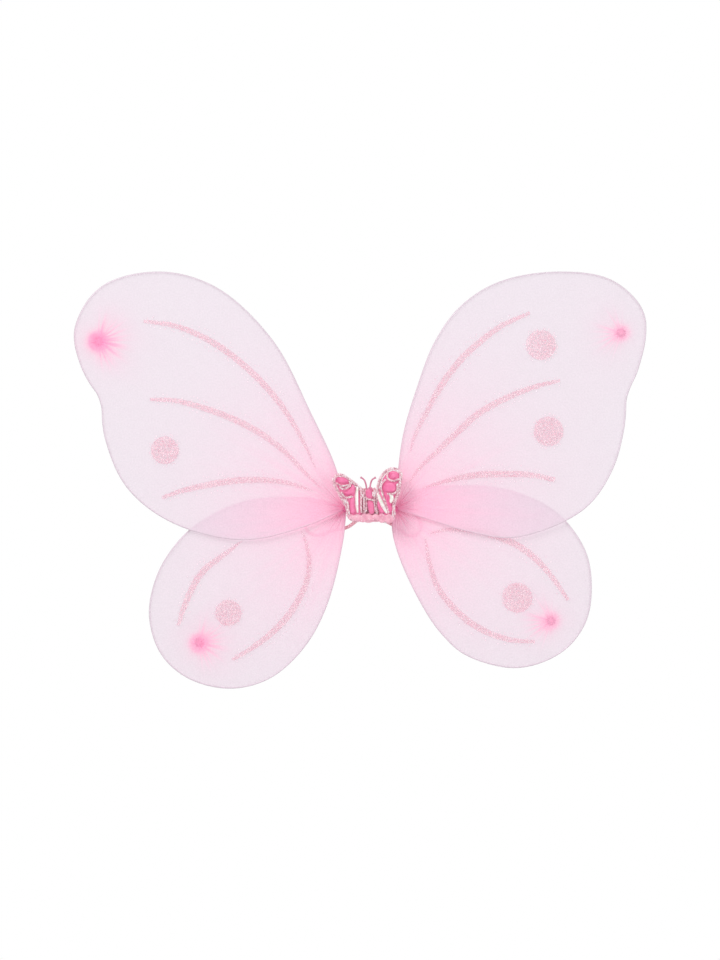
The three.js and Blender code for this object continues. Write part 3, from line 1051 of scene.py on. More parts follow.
def line_object(name: str, lines: Sequence[Line], closed: bool) -> Piece:
    """A mesh of bare edges along lines, for a repeat to follow."""
    points, edges = [], []
    for line in lines:
        first = len(points)
        points += [tuple(point) for point in line]
        edges += [(first + index, first + index + 1) for index in range(len(line) - 1)]
        if closed:
            edges.append((len(points) - 1, first))
    mesh = bpy.data.meshes.new(name)
    mesh.from_pydata(points, edges, [])
    return link(name, mesh)


# ------------------------------------------------------------------------------ thread windings


@dataclass
class Winding:
    """Thread or elastic wound in turns side by side round something."""

    diameter: float
    turns: int
    half_width: float
    half_height: float
    corner: float
    steps: int = 28

    def line(self) -> list[Vector]:
        """The thread's line about +Z, centred on the origin."""
        width = (self.turns - 1) * self.diameter
        count = self.turns * self.steps
        points = []
        for index in range(count + 1):
            turn = index / self.steps
            flat_point = self._section(2 * math.pi * turn)
            rise = width * (index / count - 0.5)
            points.append(Vector((flat_point.x, flat_point.y, rise)))
        return points

    def _section(self, angle: float) -> Vector:
        """A point of the rounded rectangle that the thread goes round."""
        way = heading(angle)
        flat_x, flat_y = self.half_width - self.corner, self.half_height - self.corner
        core = Vector((max(-flat_x, min(flat_x, way.x * 4 * flat_x)),
                       max(-flat_y, min(flat_y, way.y * 4 * flat_y))))
        return core + way * self.corner

    def surface(self) -> Surface:
        """The wound thread as a tube about +Z."""
        return swept(self.line(), self.diameter / 2, 8)


def turn_to(axis: Vector, centre: Vector) -> Matrix:
    """A matrix that carries +Z to an axis and the origin to a centre."""
    return Matrix.Translation(centre) @ axis.to_track_quat("Z", "Y").to_matrix().to_4x4()


# ------------------------------------------------------------------------------ arm loops


@dataclass
class ArmLoop:
    """One elastic arm loop: the part that shows beside the root, and the rest of it folded in a
    hank behind the centre."""

    side: Side
    route: Sequence[tuple[float, float, float]]
    length: float
    diameter: float = 3 * MM
    turns: float = 1.7
    first_turn: float = 0.13
    steps_per_turn: int = 40

    def hank_point(self, share: float, low: Vector, high: Vector) -> Vector:
        """A place on the hank's fold line, from the start of its lower run.

        Args:
            share: How many turns on it is.
            low: The hank's lowest corner.
            high: The hank's highest corner.

        Returns:
            The point.
        """
        middle = (low + high) / 2
        radius = (high.z - low.z - self.diameter) / 2
        half_run = (high.x - low.x) / 2 - radius - self.diameter / 2
        run, bend = 2 * half_run, math.pi * radius
        travelled = (share % 1) * 2 * (run + bend)
        if travelled < run:
            x, z = travelled - half_run, -radius
        elif travelled < run + bend:
            angle = (travelled - run) / radius
            x, z = half_run + radius * math.sin(angle), -radius * math.cos(angle)
        elif travelled < 2 * run + bend:
            x, z = half_run - (travelled - run - bend), radius
        else:
            angle = (travelled - 2 * run - bend) / radius
            x, z = -half_run - radius * math.sin(angle), radius * math.cos(angle)
        layer_share = min(1.0, max(0.0, (share - 0.8) / 0.2))
        ease = layer_share * layer_share * (3 - 2 * layer_share)
        first, second = low.y + self.diameter / 2, high.y - self.diameter / 2
        return Vector((middle.x - self.side.sign * x, blend_value(first, second, ease),
                       middle.z + z))

    def line(self) -> list[Vector]:
        """The elastic's centre line, from where it is sewn on to its far end."""
        low, high = cad_box(f"{self.side.value}_strap_hank")
        shown = [Vector((x, -depth, z)) * MM for x, z, depth in self.route]
        count = round((self.turns - self.first_turn) * self.steps_per_turn)
        wound = [self.hank_point(blend_value(self.first_turn, self.turns, index / count), low, high)
                 for index in range(count + 1)]
        return even_line(smooth_line([*shown, *wound], self.diameter / 2), self.diameter * 0.7)

    def build(self, tie: Piece) -> None:
        name = f"{self.side.value}_arm_elastic"
        line = self.line()
        LOG.info("%s is %.4f m long", name, line_length(line))
        piece = swept(line, self.diameter / 2, 12).build(name)
        place_piece(piece, ELASTIC, "centre", "covered_elastic",
                    f"{self.side.value}_strap", f"{self.side.value}_strap_hank")


ARM_LOOPS = (
    ArmLoop(Side.LEFT, length=0.268, route=(
        (-10.5, -4.6, 3.8), (-14.5, -7.8, 3.4), (-18.8, -11, 2.8), (-23.5, -12.8, 2.4),
        (-31, -14.2, 1.8), (-39.5, -17.2, 1.7), (-46.5, -18.8, 1.7), (-52.3, -17.6, 1.7),
        (-56.4, -13.6, 1.7), (-56.8, -8.6, 1.7), (-53, -5, 1.7), (-46.5, -2.8, 1.6),
        (-38, -0.2, 1.2), (-30, 2.6, 0.4), (-24.5, 4.9, -0.8), (-19.7, 8.1, -2))),
    ArmLoop(Side.RIGHT, length=0.249, route=(
        (10.5, -4.6, 3.8), (13.4, -6.4, 3.7), (16.8, -8.2, 2.4), (20.6, -10.4, 1),
        (25, -13.8, 0.8), (29.6, -17, 0.9), (34.6, -19.4, 1), (39.8, -18.6, 1.2),
        (43.6, -14.6, 1), (44.2, -9, 0.2), (42, -3.4, -1.2), (37.6, 1, -2.8),
        (31.8, 3.8, -4.6), (25.6, 5.6, -6.6), (19.8, 7.9, -8.3))),
)


# ------------------------------------------------------------------------------ wings


@dataclass
class Vein:
    """A glitter line on a wing, in percent of the wing's reach and rise from its root.

    Its first point is the outer tip.
    """

    points: Places
    width: float = 5.4 * MM
    blunt: bool = False


@dataclass
class Dot:
    """A round glitter spot on a wing, in percent of its reach and rise."""

    place: tuple[float, float]
    radius: float


@dataclass
class Wing:
    """One wing: a wire loop, the nylon sleeve over it, its gathered tip and its glitter."""

    side: Side
    tier: Tier
    veins: Sequence[Vein]
    dots: Sequence[Dot]
    seed: int
    star: float = 1.0
    wire_clearance: float = 1.1 * MM
    cloth_gap: float = 0.15 * MM
    grid_spacing: float = 4.2 * MM
    edge_spacing: float = 2.4 * MM
    root_reach: float = 78 * MM
    knot_reach: float = 34 * MM
    flake_radius: float = 0.36 * MM
    flake_density: float = 1.9e6

    def __post_init__(self) -> None:
        """Reads the wing's places from the frame."""
        self.name = f"{self.side.value}_{self.tier.value}"
        self.body = f"{self.name}_wing"
        fold = next(j for j in frame["joints"] if j["name"] == f"{self.side.value}_fold")
        self.root = Vector(fold["pos_m"])
        low, high = cad_box(f"{self.name}_wire")
        self.wire_radius = (high.y - low.y) / 2
        self.plane = (high.y + low.y) / 2
        self.reach = (high.x - self.root.x) if self.side is Side.RIGHT else (self.root.x - low.x)
        self.rise = (high.z - self.root.z) if self.tier is Tier.UPPER else (self.root.z - low.z)
        self.tie = cad_middle(f"{self.name}_tip_tie")
        self.flat_root, self.flat_knot = flat((self.root, self.tie))
        self.cover_radius = self.wire_radius + self.cloth_gap
        self.random = random.Random(self.seed)

    def place(self, outward: float, away: float) -> Vector:
        """A flat place on the wing, from percentages of its reach and rise."""
        return Vector((self.root.x + self.side.sign * self.reach * outward / 100,
                       self.root.z + self.tier.sign * self.rise * away / 100))

    def wire_loop(self) -> tuple[list[Vector], list[Vector]]:
        """The wire's flat centre line, and the short arc that closes it at the root."""
        loop = flat(front_loop(f"{self.name}_sleeve"))
        root = self.flat_root
        arc_reach = 6 * MM
        near = [(point - root).length < arc_reach for point in loop]
        first = next(i for i in range(len(loop)) if near[i - 1] and not near[i])
        turned_loop = loop[first:] + loop[:first]
        count = sum(not flag for flag in near)
        outer = offset_line(turned_loop, self.wire_clearance)[:count]
        tuck = 2.6 * MM
        ends = [root + (point - root).normalized() * tuck for point in (outer[0], outer[-1])]
        wire = even_line(smooth_line([ends[0], *outer, ends[1]], self.edge_spacing),
                         self.edge_spacing)
        angles = [math.atan2(*(point - root).yx) for point in (wire[-1], wire[0])]
        sweep = (angles[1] - angles[0] + math.pi) % (2 * math.pi) - math.pi
        steps = 8
        arc = [root + tuck * heading(angles[0] + sweep * step / steps)
               for step in range(1, steps)]
        return wire, arc

    def rings(self, centre: Vector, reaches: Sequence[float], rays: int, outline: Line,
              margin: float) -> list[Vector]:
        """Points in rings about a gather, where they lie inside an outline."""
        points = []
        for ring, reach in enumerate(reaches):
            for ray in range(rays):
                angle = 2 * math.pi * (ray + ring % 2 / 2) / rays
                point = centre + reach * heading(angle)
                if inside(point, outline):
                    points.append(point)
        gaps = edge_distance(points, outline)
        return [point for point, gap in zip(points, gaps) if gap > margin]

    def waves(self, counts: Sequence[int]) -> Callable[[float], float]:
        """Folds round a gather: a sum of waves with set counts and drawn phases."""
        phases = [self.random.uniform(0, 2 * math.pi) for _ in counts]
        return lambda angle: sum(
            math.sin(count * angle + phase) for count, phase in zip(counts, phases)) / len(counts)

    def sleeve(self) -> Piece:
        """The nylon: a flat tube pulled over the wire and gathered at the root and the tip."""
        wire, arc = self.wire_loop()
        outline = [*wire, *arc]
        root, knot = self.flat_root, self.flat_knot
        margin = self.edge_spacing * 0.7
        inner = self.rings(root, growing(4.6 * MM, self.root_reach, 26), 480, outline, margin / 3)
        inner += self.rings(knot, growing(2.2 * MM, self.knot_reach, 20), 120, outline, margin / 2)
        inner += [point for point in inner_grid(outline, self.grid_spacing, margin)
                  if (point - root).length > self.root_reach + 2 * MM
                  and (point - knot).length > self.knot_reach + 2 * MM]
        points, faces, rim = filled(outline, inner)
        gaps = edge_distance(points, outline)
        root_folds, knot_folds = self.waves((31, 44, 57)), self.waves((8, 13))
        surface = Surface()
        for layer in (-1, 1):
            for point, gap in zip(points, gaps):
                height = self._height(point, gap, layer, root_folds, knot_folds)
                surface.points.append(Vector((point.x, self.plane + layer * height, point.y)))
        count = len(points)
        surface.faces += [tuple(face) for face in faces]
        surface.faces += [tuple(index + count for index in reversed(face)) for face in faces]
        self._wrap_edge(surface, [points[i] for i in rim], rim, count)
        piece = surface.build(f"{self.name}_nylon_sleeve")
        self._mark(piece)
        return piece

    def _height(self, point: Vector, gap: float, layer: int, root_folds: Callable,
                knot_folds: Callable) -> float:
        """How far a layer of the sleeve lies from the wing's middle plane."""
        fade = min(1.0, gap / (3 * MM))
        from_root = point - self.flat_root
        from_knot = point - self.flat_knot
        reach, knot_reach = from_root.length / MM, from_knot.length / MM
        pleat = 0.55 * faded(reach, 32) * root_folds(math.atan2(from_root.y, from_root.x))
        fold = (0.42 * min(1.0, knot_reach / 5) * faded(knot_reach, 13)
                * knot_folds(math.atan2(from_knot.y, from_knot.x)))
        sag = 0.18 * noise.noise(Vector((point.x, point.y, self.seed)) * 38)
        pull = 1.6 * faded(knot_reach, 5, 2) if layer < 0 else -2.0 * faded(knot_reach, 3, 2)
        return self.cover_radius + fade * (pleat + fold - layer * sag - pull) * MM

    def _from_root(self, point: Vector) -> float:
        """How far a flat point is from the root, in millimetres."""
        return (point - self.flat_root).length / MM

    def _from_knot(self, point: Vector) -> float:
        """How far a flat point is from the tip tie, in millimetres."""
        return (point - self.flat_knot).length / MM

    def _gather(self, point: Vector) -> float:
        """How bunched the nylon is at a flat point, from 0 to 1."""
        reach, knot_reach = self._from_root(point), self._from_knot(point)
        at_root = 0.75 * faded(reach, 16) + 0.26 * faded(reach, 78, 1.6)
        at_knot = (0.85 * faded(knot_reach, 6, 2)
                   + 0.16 * faded(knot_reach, 20) * (0.4 + 0.6 * self._inward(point)))
        return min(1.0, at_root + at_knot * self.star)

    def _inward(self, point: Vector) -> float:
        """How far a point lies on the inner side of the tip tie, from 0 to 1."""
        ray = point - self.flat_knot
        cosine = -self.side.sign * ray.x / max(ray.length, 1e-6)
        return max(0.0, min(1.0, (cosine + 0.25) / 0.9))

    def _fan(self, point: Vector) -> float:
        """How strong the fan of streaks from the tip tie is at a flat point, from 0 to 1."""
        reach = self._from_knot(point)
        return (0.55 * self.star * self._inward(point) * faded(reach, 16, 2)
                * (1 - faded(reach, 4, 2)))

    def _blush(self, point: Vector) -> float:
        """How warm the veil is at a flat point, from 0 far out to 1 at the root."""
        return faded(self._from_root(point), 130, 2)

    def _tip(self, point: Vector) -> float:
        """How pink the tip tie makes a flat point, from 0 to 1."""
        return self.star ** 1.5 * faded(self._from_knot(point), 26, 2)

    def _wrap_edge(self, surface: Surface, edge: Line, rim: Sequence[int], count: int) -> None:
        """Carries the cloth round the wire, from the front layer's edge to the back layer's."""
        steps = 6
        outward = [b - a for a, b in zip(edge, offset_line(edge, 1.0))]
        rows = [list(rim)]
        for step in range(1, steps):
            angle = math.pi * step / steps
            row = []
            for point, way in zip(edge, outward):
                out = point + way * (self.cover_radius * math.sin(angle))
                row.append(len(surface.points))
                surface.points.append(Vector((
                    out.x, self.plane - self.cover_radius * math.cos(angle), out.y)))
            rows.append(row)
        rows.append([index + count for index in rim])
        for low, high in zip(rows, rows[1:]):
            for index in range(len(edge)):
                after = (index + 1) % len(edge)
                surface.faces.append((low[index], low[after], high[after], high[index]))

    def _mark(self, piece: Piece) -> None:
        """Stores where each point lies from the gathers, for the nylon's streaks."""
        mesh = piece.data
        places = np.empty(len(mesh.vertices) * 3)
        mesh.vertices.foreach_get("co", places)
        places = places.reshape(-1, 3)
        flat_places = places * (1, 0, 1)
        for name, centre in (("root_ray", self.root), ("knot_ray", self.tie)):
            ray = flat_places - np.array((centre.x, 0, centre.z))
            attribute = mesh.attributes.new(name, "FLOAT_VECTOR", "POINT")
            attribute.data.foreach_set("vector", ray.ravel())
        spots_flat = [Vector((x, z)) for x, _, z in places]
        for name, value_at in (("gather", self._gather), ("fan", self._fan),
                               ("blush", self._blush), ("tip", self._tip)):
            attribute = mesh.attributes.new(name, "FLOAT", "POINT")
            attribute.data.foreach_set("value", [value_at(place) for place in spots_flat])

    def tail(self) -> Piece:
        """The bunched nylon that the tip tie holds, on the back of the wing."""
        folds = self.waves((7, 11, 15))
        low, high = cad_box(f"{self.name}_tip_tie")
        tail_end = cad_box(f"{self.name}_sleeve")[1].y - self.plane
        near, far = low.y - self.plane, high.y - self.plane
        profile = [(0, near * 0.6), (3.6 * MM, near * 0.66), (3 * MM, near * 0.8), (1.9 * MM, near),
                   (1.75 * MM, (near + far) / 2), (1.9 * MM, far)]
        steps = 7
        for step in range(1, steps + 1):
            share = step / steps
            profile.append((blend_value(1.9, 4.2, share ** 0.8) * MM,
                            blend_value(far, tail_end, share)))
        profile += [(3.6 * MM, tail_end - 0.3 * MM), (1.6 * MM, tail_end - 2.6 * MM),
                    (0, tail_end - 3.4 * MM)]
        shape = turned(profile, 96, lambda angle, along: 1 + folds(angle) * blend_value(
            0.12, 0.42, min(1.0, max(0.0, along / tail_end))))
        centre = Vector((self.tie.x, self.plane, self.tie.z))
        return shape.moved(turn_to(-FORWARD, centre)).build(f"{self.name}_tip_gather")

    def tie_thread(self) -> Piece:
        """The thread wound round the tail's neck."""
        low, high = cad_box(f"{self.name}_tip_tie")
        surface = Surface()
        for radius, turns in ((2.35 * MM, 3), (2.8 * MM, 3)):
            winding = Winding(0.52 * MM, turns, radius, radius, radius)
            surface.add(winding.surface().moved(turn_to(-FORWARD, (low + high) / 2)))
        return surface.build(f"{self.name}_tip_thread")

    def printed(self, vein_bands: Places, dot_bands: Places) -> Patches:
        """The veins and dots as areas just in front of the nylon.

        Args:
            vein_bands: How many times as wide as a vein each of its layers is, and its cover.
            dot_bands: The same for the dots.

        Returns:
            The areas.
        """
        patches = Patches()
        for vein in self.veins:
            for widen, cover in vein_bands:
                self._add_vein(patches, vein, widen, cover)
        for dot in self.dots:
            for widen, cover in dot_bands:
                self._add_disc(patches, self.place(*dot.place), dot.radius * widen, cover)
        return patches

    def _lifted(self, point: Vector) -> Vector:
        """A flat point on the front of the wing, clear of the nylon's folds."""
        lift = self.cover_radius + (0.12 + 0.75 * faded(self._from_root(point), 32)) * MM
        return Vector((point.x, self.plane - lift, point.y))

    def _add_vein(self, patches: Patches, vein: Vein, widen: float, cover: float) -> None:
        """Adds a vein's ribbon, pointed at its outer tip and fading out at its root."""
        drawn = [self.place(*point) for point in vein.points]
        line = even_line(smooth_line(drawn, 2 * MM), 2 * MM)
        total = len(line) - 1
        first = len(patches.points)
        for index, point in enumerate(line):
            share = index / total
            along = (line[min(index + 1, total)] - line[max(index - 1, 0)]).normalized()
            across = Vector((-along.y, along.x))
            swell = math.sin(math.pi * min(1.0, 0.08 + share * 0.92)) ** 0.55
            if vein.blunt:
                swell = max(swell, 0.8 * (1 - share))
            half = vein.width / 2 * max(0.12, swell) * widen
            fade = min(1.0, 0.35 + 1.6 * (1 - share))
            for way in (-1, 1):
                patches.points.append(self._lifted(point + across * (way * half)))
                patches.covers.append(cover * fade)
        for index in range(total):
            a = first + 2 * index
            patches.faces.append((a, a + 1, a + 3, a + 2))

    def _add_disc(self, patches: Patches, centre: Vector, radius: float, cover: float) -> None:
        """Adds a round patch."""
        sides = 32
        hub = len(patches.points)
        patches.points.append(self._lifted(centre))
        for side in range(sides):
            angle = 2 * math.pi * side / sides
            patches.points.append(self._lifted(
                centre + radius * heading(angle)))
            patches.faces.append((hub, hub + 1 + side, hub + 1 + (side + 1) % sides))
        patches.covers += [cover] * (sides + 1)

    def binder(self) -> Piece:
        """The tinted film under the flakes, as thin closed strips and discs."""
        source = self.printed([(1.05, 1.0)], [(1.02, 1.0)]).build("binder")
        solid = source.modifiers.new("film", "SOLIDIFY")
        solid.thickness, solid.offset = 0.05 * MM, -1
        graph = bpy.context.evaluated_depsgraph_get()
        mesh = bpy.data.meshes.new_from_object(source.evaluated_get(graph))
        bpy.data.objects.remove(source)
        return link(f"{self.name}_glitter_film", mesh)

    def glitter(self) -> None:
        """The flakes of the veins and dots, with a few stray ones beside them."""
        patches = self.printed([(1.0, 1.0), (3.2, 0.035)], [(1.0, 0.8), (1.22, 0.1)])
        source = patches.build("patches")
        set_cover(source, patches.covers)
        sprinkle(f"{self.name}_glitter", source, self.body, self.flake_density,
                 self.flake_radius, 22, self.seed)

    def build(self) -> None:
        """Makes all the wing's pieces."""
        wire_line, _ = self.wire_loop()
        lifted = [Vector((point.x, self.plane, point.y)) for point in wire_line]
        wire = swept(lifted, self.wire_radius, 12).build(f"{self.name}_frame_wire")
        place_piece(wire, STEEL, self.body, "wire_steel", f"{self.name}_wire")
        tail = place_piece(self.tail(), TAILS, self.body, "gathered_nylon")
        place_piece(self.tie_thread(), BINDING, self.body, "binding_thread",
                    f"{self.name}_tip_tie")
        sleeve = place_piece(self.sleeve(), SHEER, self.body, "sheer_nylon",
                             f"{self.name}_sleeve")
        # Light passes through a veil this thin, so one layer doesn't darken the next.
        sleeve.visible_shadow = False
        self.glitter()
        place_piece(self.binder(), FILM, self.body, "glitter_braid")


WINGS = (
    Wing(Side.LEFT, Tier.UPPER, seed=11, star=0.95, dots=[Dot((66.5, 24.5), 12 * MM)], veins=[
        Vein([(74.5, 79), (64.5, 77.5), (55.5, 74), (46, 68), (37.5, 60.5), (29, 51),
              (21.5, 40), (15.5, 28), (11, 17)]),
        Vein([(72, 46), (63, 45.5), (52.5, 42.5), (42, 38), (31, 31.5), (22.5, 24),
              (15.5, 16), (9.5, 9)]),
        Vein([(67.5, 4.5), (60, 7.5), (52.5, 9.5), (42, 11.5), (31, 12), (20.5, 10.5),
              (12, 7.5)])]),
    Wing(Side.LEFT, Tier.LOWER, seed=12, star=0.72, dots=[Dot((59.5, 58), 11.3 * MM)], veins=[
        Vein([(85, 65), (82.5, 56), (78, 44.5), (72.5, 35), (61.5, 25.5), (52.5, 18)]),
        Vein([(57.5, 84), (49, 78.5), (40, 71.5), (31, 62), (24, 51), (19.5, 39.5),
              (18.5, 28.5), (21, 16), (22.5, 12.5)])]),
    Wing(Side.RIGHT, Tier.UPPER, seed=13, star=0.5,
         dots=[Dot((58, 69), 13 * MM), Dot((61, 32.5), 12.8 * MM)], veins=[
        Vein([(53.5, 82.5), (43, 77.5), (35, 71.5), (28, 65), (21.5, 57), (16.5, 49),
              (12, 40), (8, 31.5), (5.5, 23)]),
        Vein([(65.5, 54), (54.5, 51), (43, 46), (33, 40), (25, 32.5), (16.5, 24), (9.5, 17),
              (5.5, 11)]),
        Vein([(63.5, 12), (54.5, 14), (43, 14.5), (31.5, 14), (20, 11.5), (11, 8.5)],
             blunt=True)]),
    Wing(Side.RIGHT, Tier.LOWER, seed=14, star=0.55, dots=[Dot((62, 56), 13 * MM)], veins=[
        Vein([(88, 57.5), (81, 45), (72.5, 33), (62.5, 23.5), (52, 18), (40.5, 14),
              (25.5, 13.5), (17, 16)]),
        Vein([(71, 83.5), (59.5, 82.5), (47.5, 78), (37.5, 71), (28.5, 61), (21, 48.5),
              (17, 32.5), (15, 18)])]),
)


# ------------------------------------------------------------------------------ centre


@dataclass
class Centre:
    """The bound roots, the satin wrap over the wire ends, the pad and the tie on the back."""

    pleats: int = 22
    thread: float = 0.6 * MM
    neck_share: float = 0.72
    binding_angle: float = 0.75
    binding_radius: float = 2.0 * MM
    pad_corner: float = 5 * MM
    stitch_inset: float = 1.6 * MM

    def neck(self, side: Side) -> None:
        """One side's root, where both its sleeves are bound together."""
        low, high = cad_box(f"{side.value}_neck_knot")
        radius, centre = (high.x - low.x) / 2 * self.neck_share, (low + high) / 2
        steps = 16
        profile = []
        for step in range(steps + 1):
            angle = math.pi * step / steps
            waist = 1 - 0.22 * faded(angle - self.binding_angle, 0.22, 2)
            profile.append((radius * math.sin(angle) * waist, -radius * math.cos(angle)))
        profile[0] = (0, profile[0][1])
        profile[-1] = (0, profile[-1][1])

        def fold(angle: float, along: float) -> float:
            """Fine pleats that twist round the knot, over broad uneven ones."""
            return (1 + 0.07 * math.sin(self.pleats * angle + 40 * along / radius)
                    + 0.04 * math.sin(9 * angle + 1.3))
        outward = Vector((side.sign, 0, 0))
        knot = turned(profile, 132, fold).moved(turn_to(outward, centre))
        place_piece(knot.build(f"{side.value}_neck_gather"), GATHERED, f"{side.value}_root",
                    "gathered_nylon", f"{side.value}_neck_knot")
        binding = Winding(self.thread, 3, *[self.binding_radius] * 3)
        place = centre - outward * (radius * math.cos(self.binding_angle))
        ring = binding.surface().moved(turn_to(outward, place))
        place_piece(ring.build(f"{side.value}_neck_binding"), BINDING, f"{side.value}_root",
                    "binding_thread")

    def lashing(self, side: Side) -> None:
        """One of the two thread lashings that hold the wire ends together inside the wrap."""
        node = f"{side.value}_lashing"
        low, high = cad_box(node)
        outer = (high.z - low.z - self.thread) / 2
        turns = round((high.x - low.x) / self.thread)
        winding = Winding(self.thread, turns, outer, outer, outer)
        ring = winding.surface().moved(turn_to(Vector((side.sign, 0, 0)), (low + high) / 2))
        place_piece(ring.build(f"{side.value}_wire_lashing"), BINDING, "centre",
                    "binding_thread", node)

    def wrap(self) -> None:
        """The satin band round the wire ends, gathered at both of its own ends."""
        low, high = cad_box("satin_wrap")
        half, depth, height = (high - low) / 2
        steps, sides = 56, 96
        profile = [(0.0, -half)]
        for step in range(steps + 1):
            share = step / steps * 2 - 1
            pinch = 1 - 0.42 * max(0.0, (abs(share) - 0.62) / 0.38) ** 2
            profile.append((pinch, share * half * 0.995))
        profile.append((0.0, half))

        def ripple(angle: float, along: float) -> float:
            """Soft folds round the band, and gathers that close in at its ends."""
            share = along / half
            slow = noise.noise(Vector((along * 260, math.cos(angle), math.sin(angle))))
            folds = 0.035 * math.sin(along * 1150 + 1.6 * math.sin(angle + 0.6))
            gathers = 0.08 * share ** 4 * math.sin(16 * angle)
            return 0.97 + folds + gathers + 0.05 * slow
        shape = turned(profile, sides, ripple)
        stretch = Matrix.Diagonal((depth, height, 1, 1))
        shape = shape.moved(Matrix.Translation((low + high) / 2) @ ALONG_X @ stretch)
        place_piece(shape.build("gathered_satin_band"), PALE_SATIN, "centre", "pale_satin",
                    "satin_wrap")

    def pad(self) -> None:
        """The felt pad against the wearer's back, with its edge stitched down."""
        mesh = frame["nodes"]["back_pad"].data.copy()
        piece = link("felt_back_pad", mesh)
        grid = bmesh.new()
        grid.from_mesh(mesh)
        bmesh.ops.remove_doubles(grid, verts=grid.verts, dist=1e-6)
        bmesh.ops.dissolve_limit(grid, angle_limit=math.radians(1), verts=grid.verts,
                                 edges=grid.edges)
        edges = [edge for edge in grid.edges if edge.calc_face_angle(0) > math.radians(60)]
        bmesh.ops.bevel(grid, geom=edges, offset=0.7 * MM, segments=4, profile=0.6,
                        affect="EDGES")
        bmesh.ops.recalc_face_normals(grid, faces=grid.faces)
        grid.to_mesh(mesh)
        grid.free()
        mesh.materials.clear()
        mesh.shade_smooth()
        place_piece(piece, FELT, "centre", "pink_felt", "back_pad")
        high = cad_box("back_pad")[1]
        corner = self.pad_corner - self.stitch_inset
        flat_x, flat_z = (half - self.pad_corner for half in (high.x, high.z))
        path = []
        for turn in range(24):
            across, up = heading(2 * math.pi * turn / 24)
            path.append(Vector((math.copysign(flat_x, across) + corner * across, high.y,
                                math.copysign(flat_z, up) + corner * up)))
        source = line_object("stitch_line", [even_closed(path, 1 * MM)], closed=True)
        stitches = grown("pad_stitches", source, rope_tree(), BINDING, Pitch=2.2 * MM,
                         Strand=0.34 * MM, Offset=0.0, Turn=0.0, Lean=0.0, Seed=3)
        place_piece(stitches, BINDING, "centre", "binding_thread")

    def strap_tie(self) -> Piece:
        """The band that holds both folded elastics, wound five times round them."""
        low, high = cad_box("strap_tie")
        thread = 0.8 * MM
        half_y, half_z = ((high - low) / 2).yz
        winding = Winding(thread, 5, half_y - thread / 2, half_z - thread / 2, 4 * MM, steps=64)
        band = winding.surface().moved(Matrix.Translation((low + high) / 2) @ ALONG_X)
        return place_piece(band.build("elastic_hank_tie"), BINDING, "centre", "binding_thread",
                           "strap_tie")

    def build(self) -> None:
        """Makes the centre's pieces and dresses the bare wire ends."""
        for side in Side:
            self.neck(side)
            self.lashing(side)
            for tier in Tier:
                dress(frame["nodes"][f"{side.value}_{tier.value}_stem"], STEEL)
        self.wrap()
        self.pad()


# ------------------------------------------------------------------------------ butterfly


@dataclass
class Panel:
    """A flat face in space that puffed pieces are laid on: a point of it and its normal."""

    origin: Vector
    normal: Vector

    @classmethod
    def through(cls, loop: Line) -> "Panel":
        """The panel that a loop of points lies in."""
        normal = Vector((0, 0, 0))
        for near, far in joined_pairs(loop):
            normal += near.cross(far)
        normal.normalize()
        if normal.dot(FORWARD) < 0:
            normal = -normal
        return cls(sum(loop, Vector()) / len(loop), normal)

    def at(self, point: Vector, height: float = 0.0) -> Vector:
        """The place over a front-view (x, z) point, a height in front of the panel."""
        y = self.origin.y - ((point.x - self.origin.x) * self.normal.x
                             + (point.y - self.origin.z) * self.normal.z) / self.normal.y
        return Vector((point.x, y, point.y)) + self.normal * height


def puffed(outline: Line, panel: Panel, base: float, height: float, rim: float,
           spacing: float = 0.9 * MM,
           wrinkle: Callable[[Vector], float] = lambda point: 0.0) -> Surface:
    """A cushion-like cloth shape on a panel: flat behind, crowned in front.

    Args:
        outline: Its closed outline in a front view.
        panel: The face it lies on.
        base: How far its back is in front of the panel.
        height: How high it stands over its back.
        rim: How far in from the outline it takes to reach its full height.
        spacing: The size of its triangles.
        wrinkle: What is added to the height at a front-view point.

    Returns:
        The closed shape.
    """
    points, faces, edge = filled(outline, inner_grid(outline, spacing, spacing * 0.6))
    gaps = edge_distance(points, outline)
    surface = Surface()
    for point, gap in zip(points, gaps):
        share = min(1.0, gap / rim)
        crown = math.sqrt(max(0.0, 1 - (1 - share) ** 2))
        surface.points.append(panel.at(point, base + (height + wrinkle(point)) * crown))
    count = len(points)
    surface.points += [panel.at(point, base - 0.05 * MM) for point in points]
    surface.faces += [tuple(face) for face in faces]
    surface.faces += [tuple(index + count for index in reversed(face)) for face in faces]
    for near, far in joined_pairs(edge):
        surface.faces.append((near, far, far + count, near + count))
    return surface


def satin_wrinkle(point: Vector) -> float:
    """A slight unevenness of satin over its padding, at a front-view point."""
    return 0.25 * MM * noise.noise(Vector((point.x, point.y, 0.3)) * 300)


def strip_outline(line: Line, width: Callable[[float], float]) -> list[Vector]:
    """The closed outline of a strip along a flat line, with a width at each share of it."""
    left, right = [], []
    total = len(line) - 1
    for index, point in enumerate(line):
        along = (line[min(index + 1, total)] - line[max(index - 1, 0)]).normalized()
        across = Vector((-along.y, along.x)) * (width(index / total) / 2)
        left.append(point + across)
        right.append(point - across)
    return left + right[::-1]


def spots(*points: tuple[float, float]) -> list[Vector]:
    """Front-view points given in millimetres."""
    return [Vector(point) * MM for point in points]


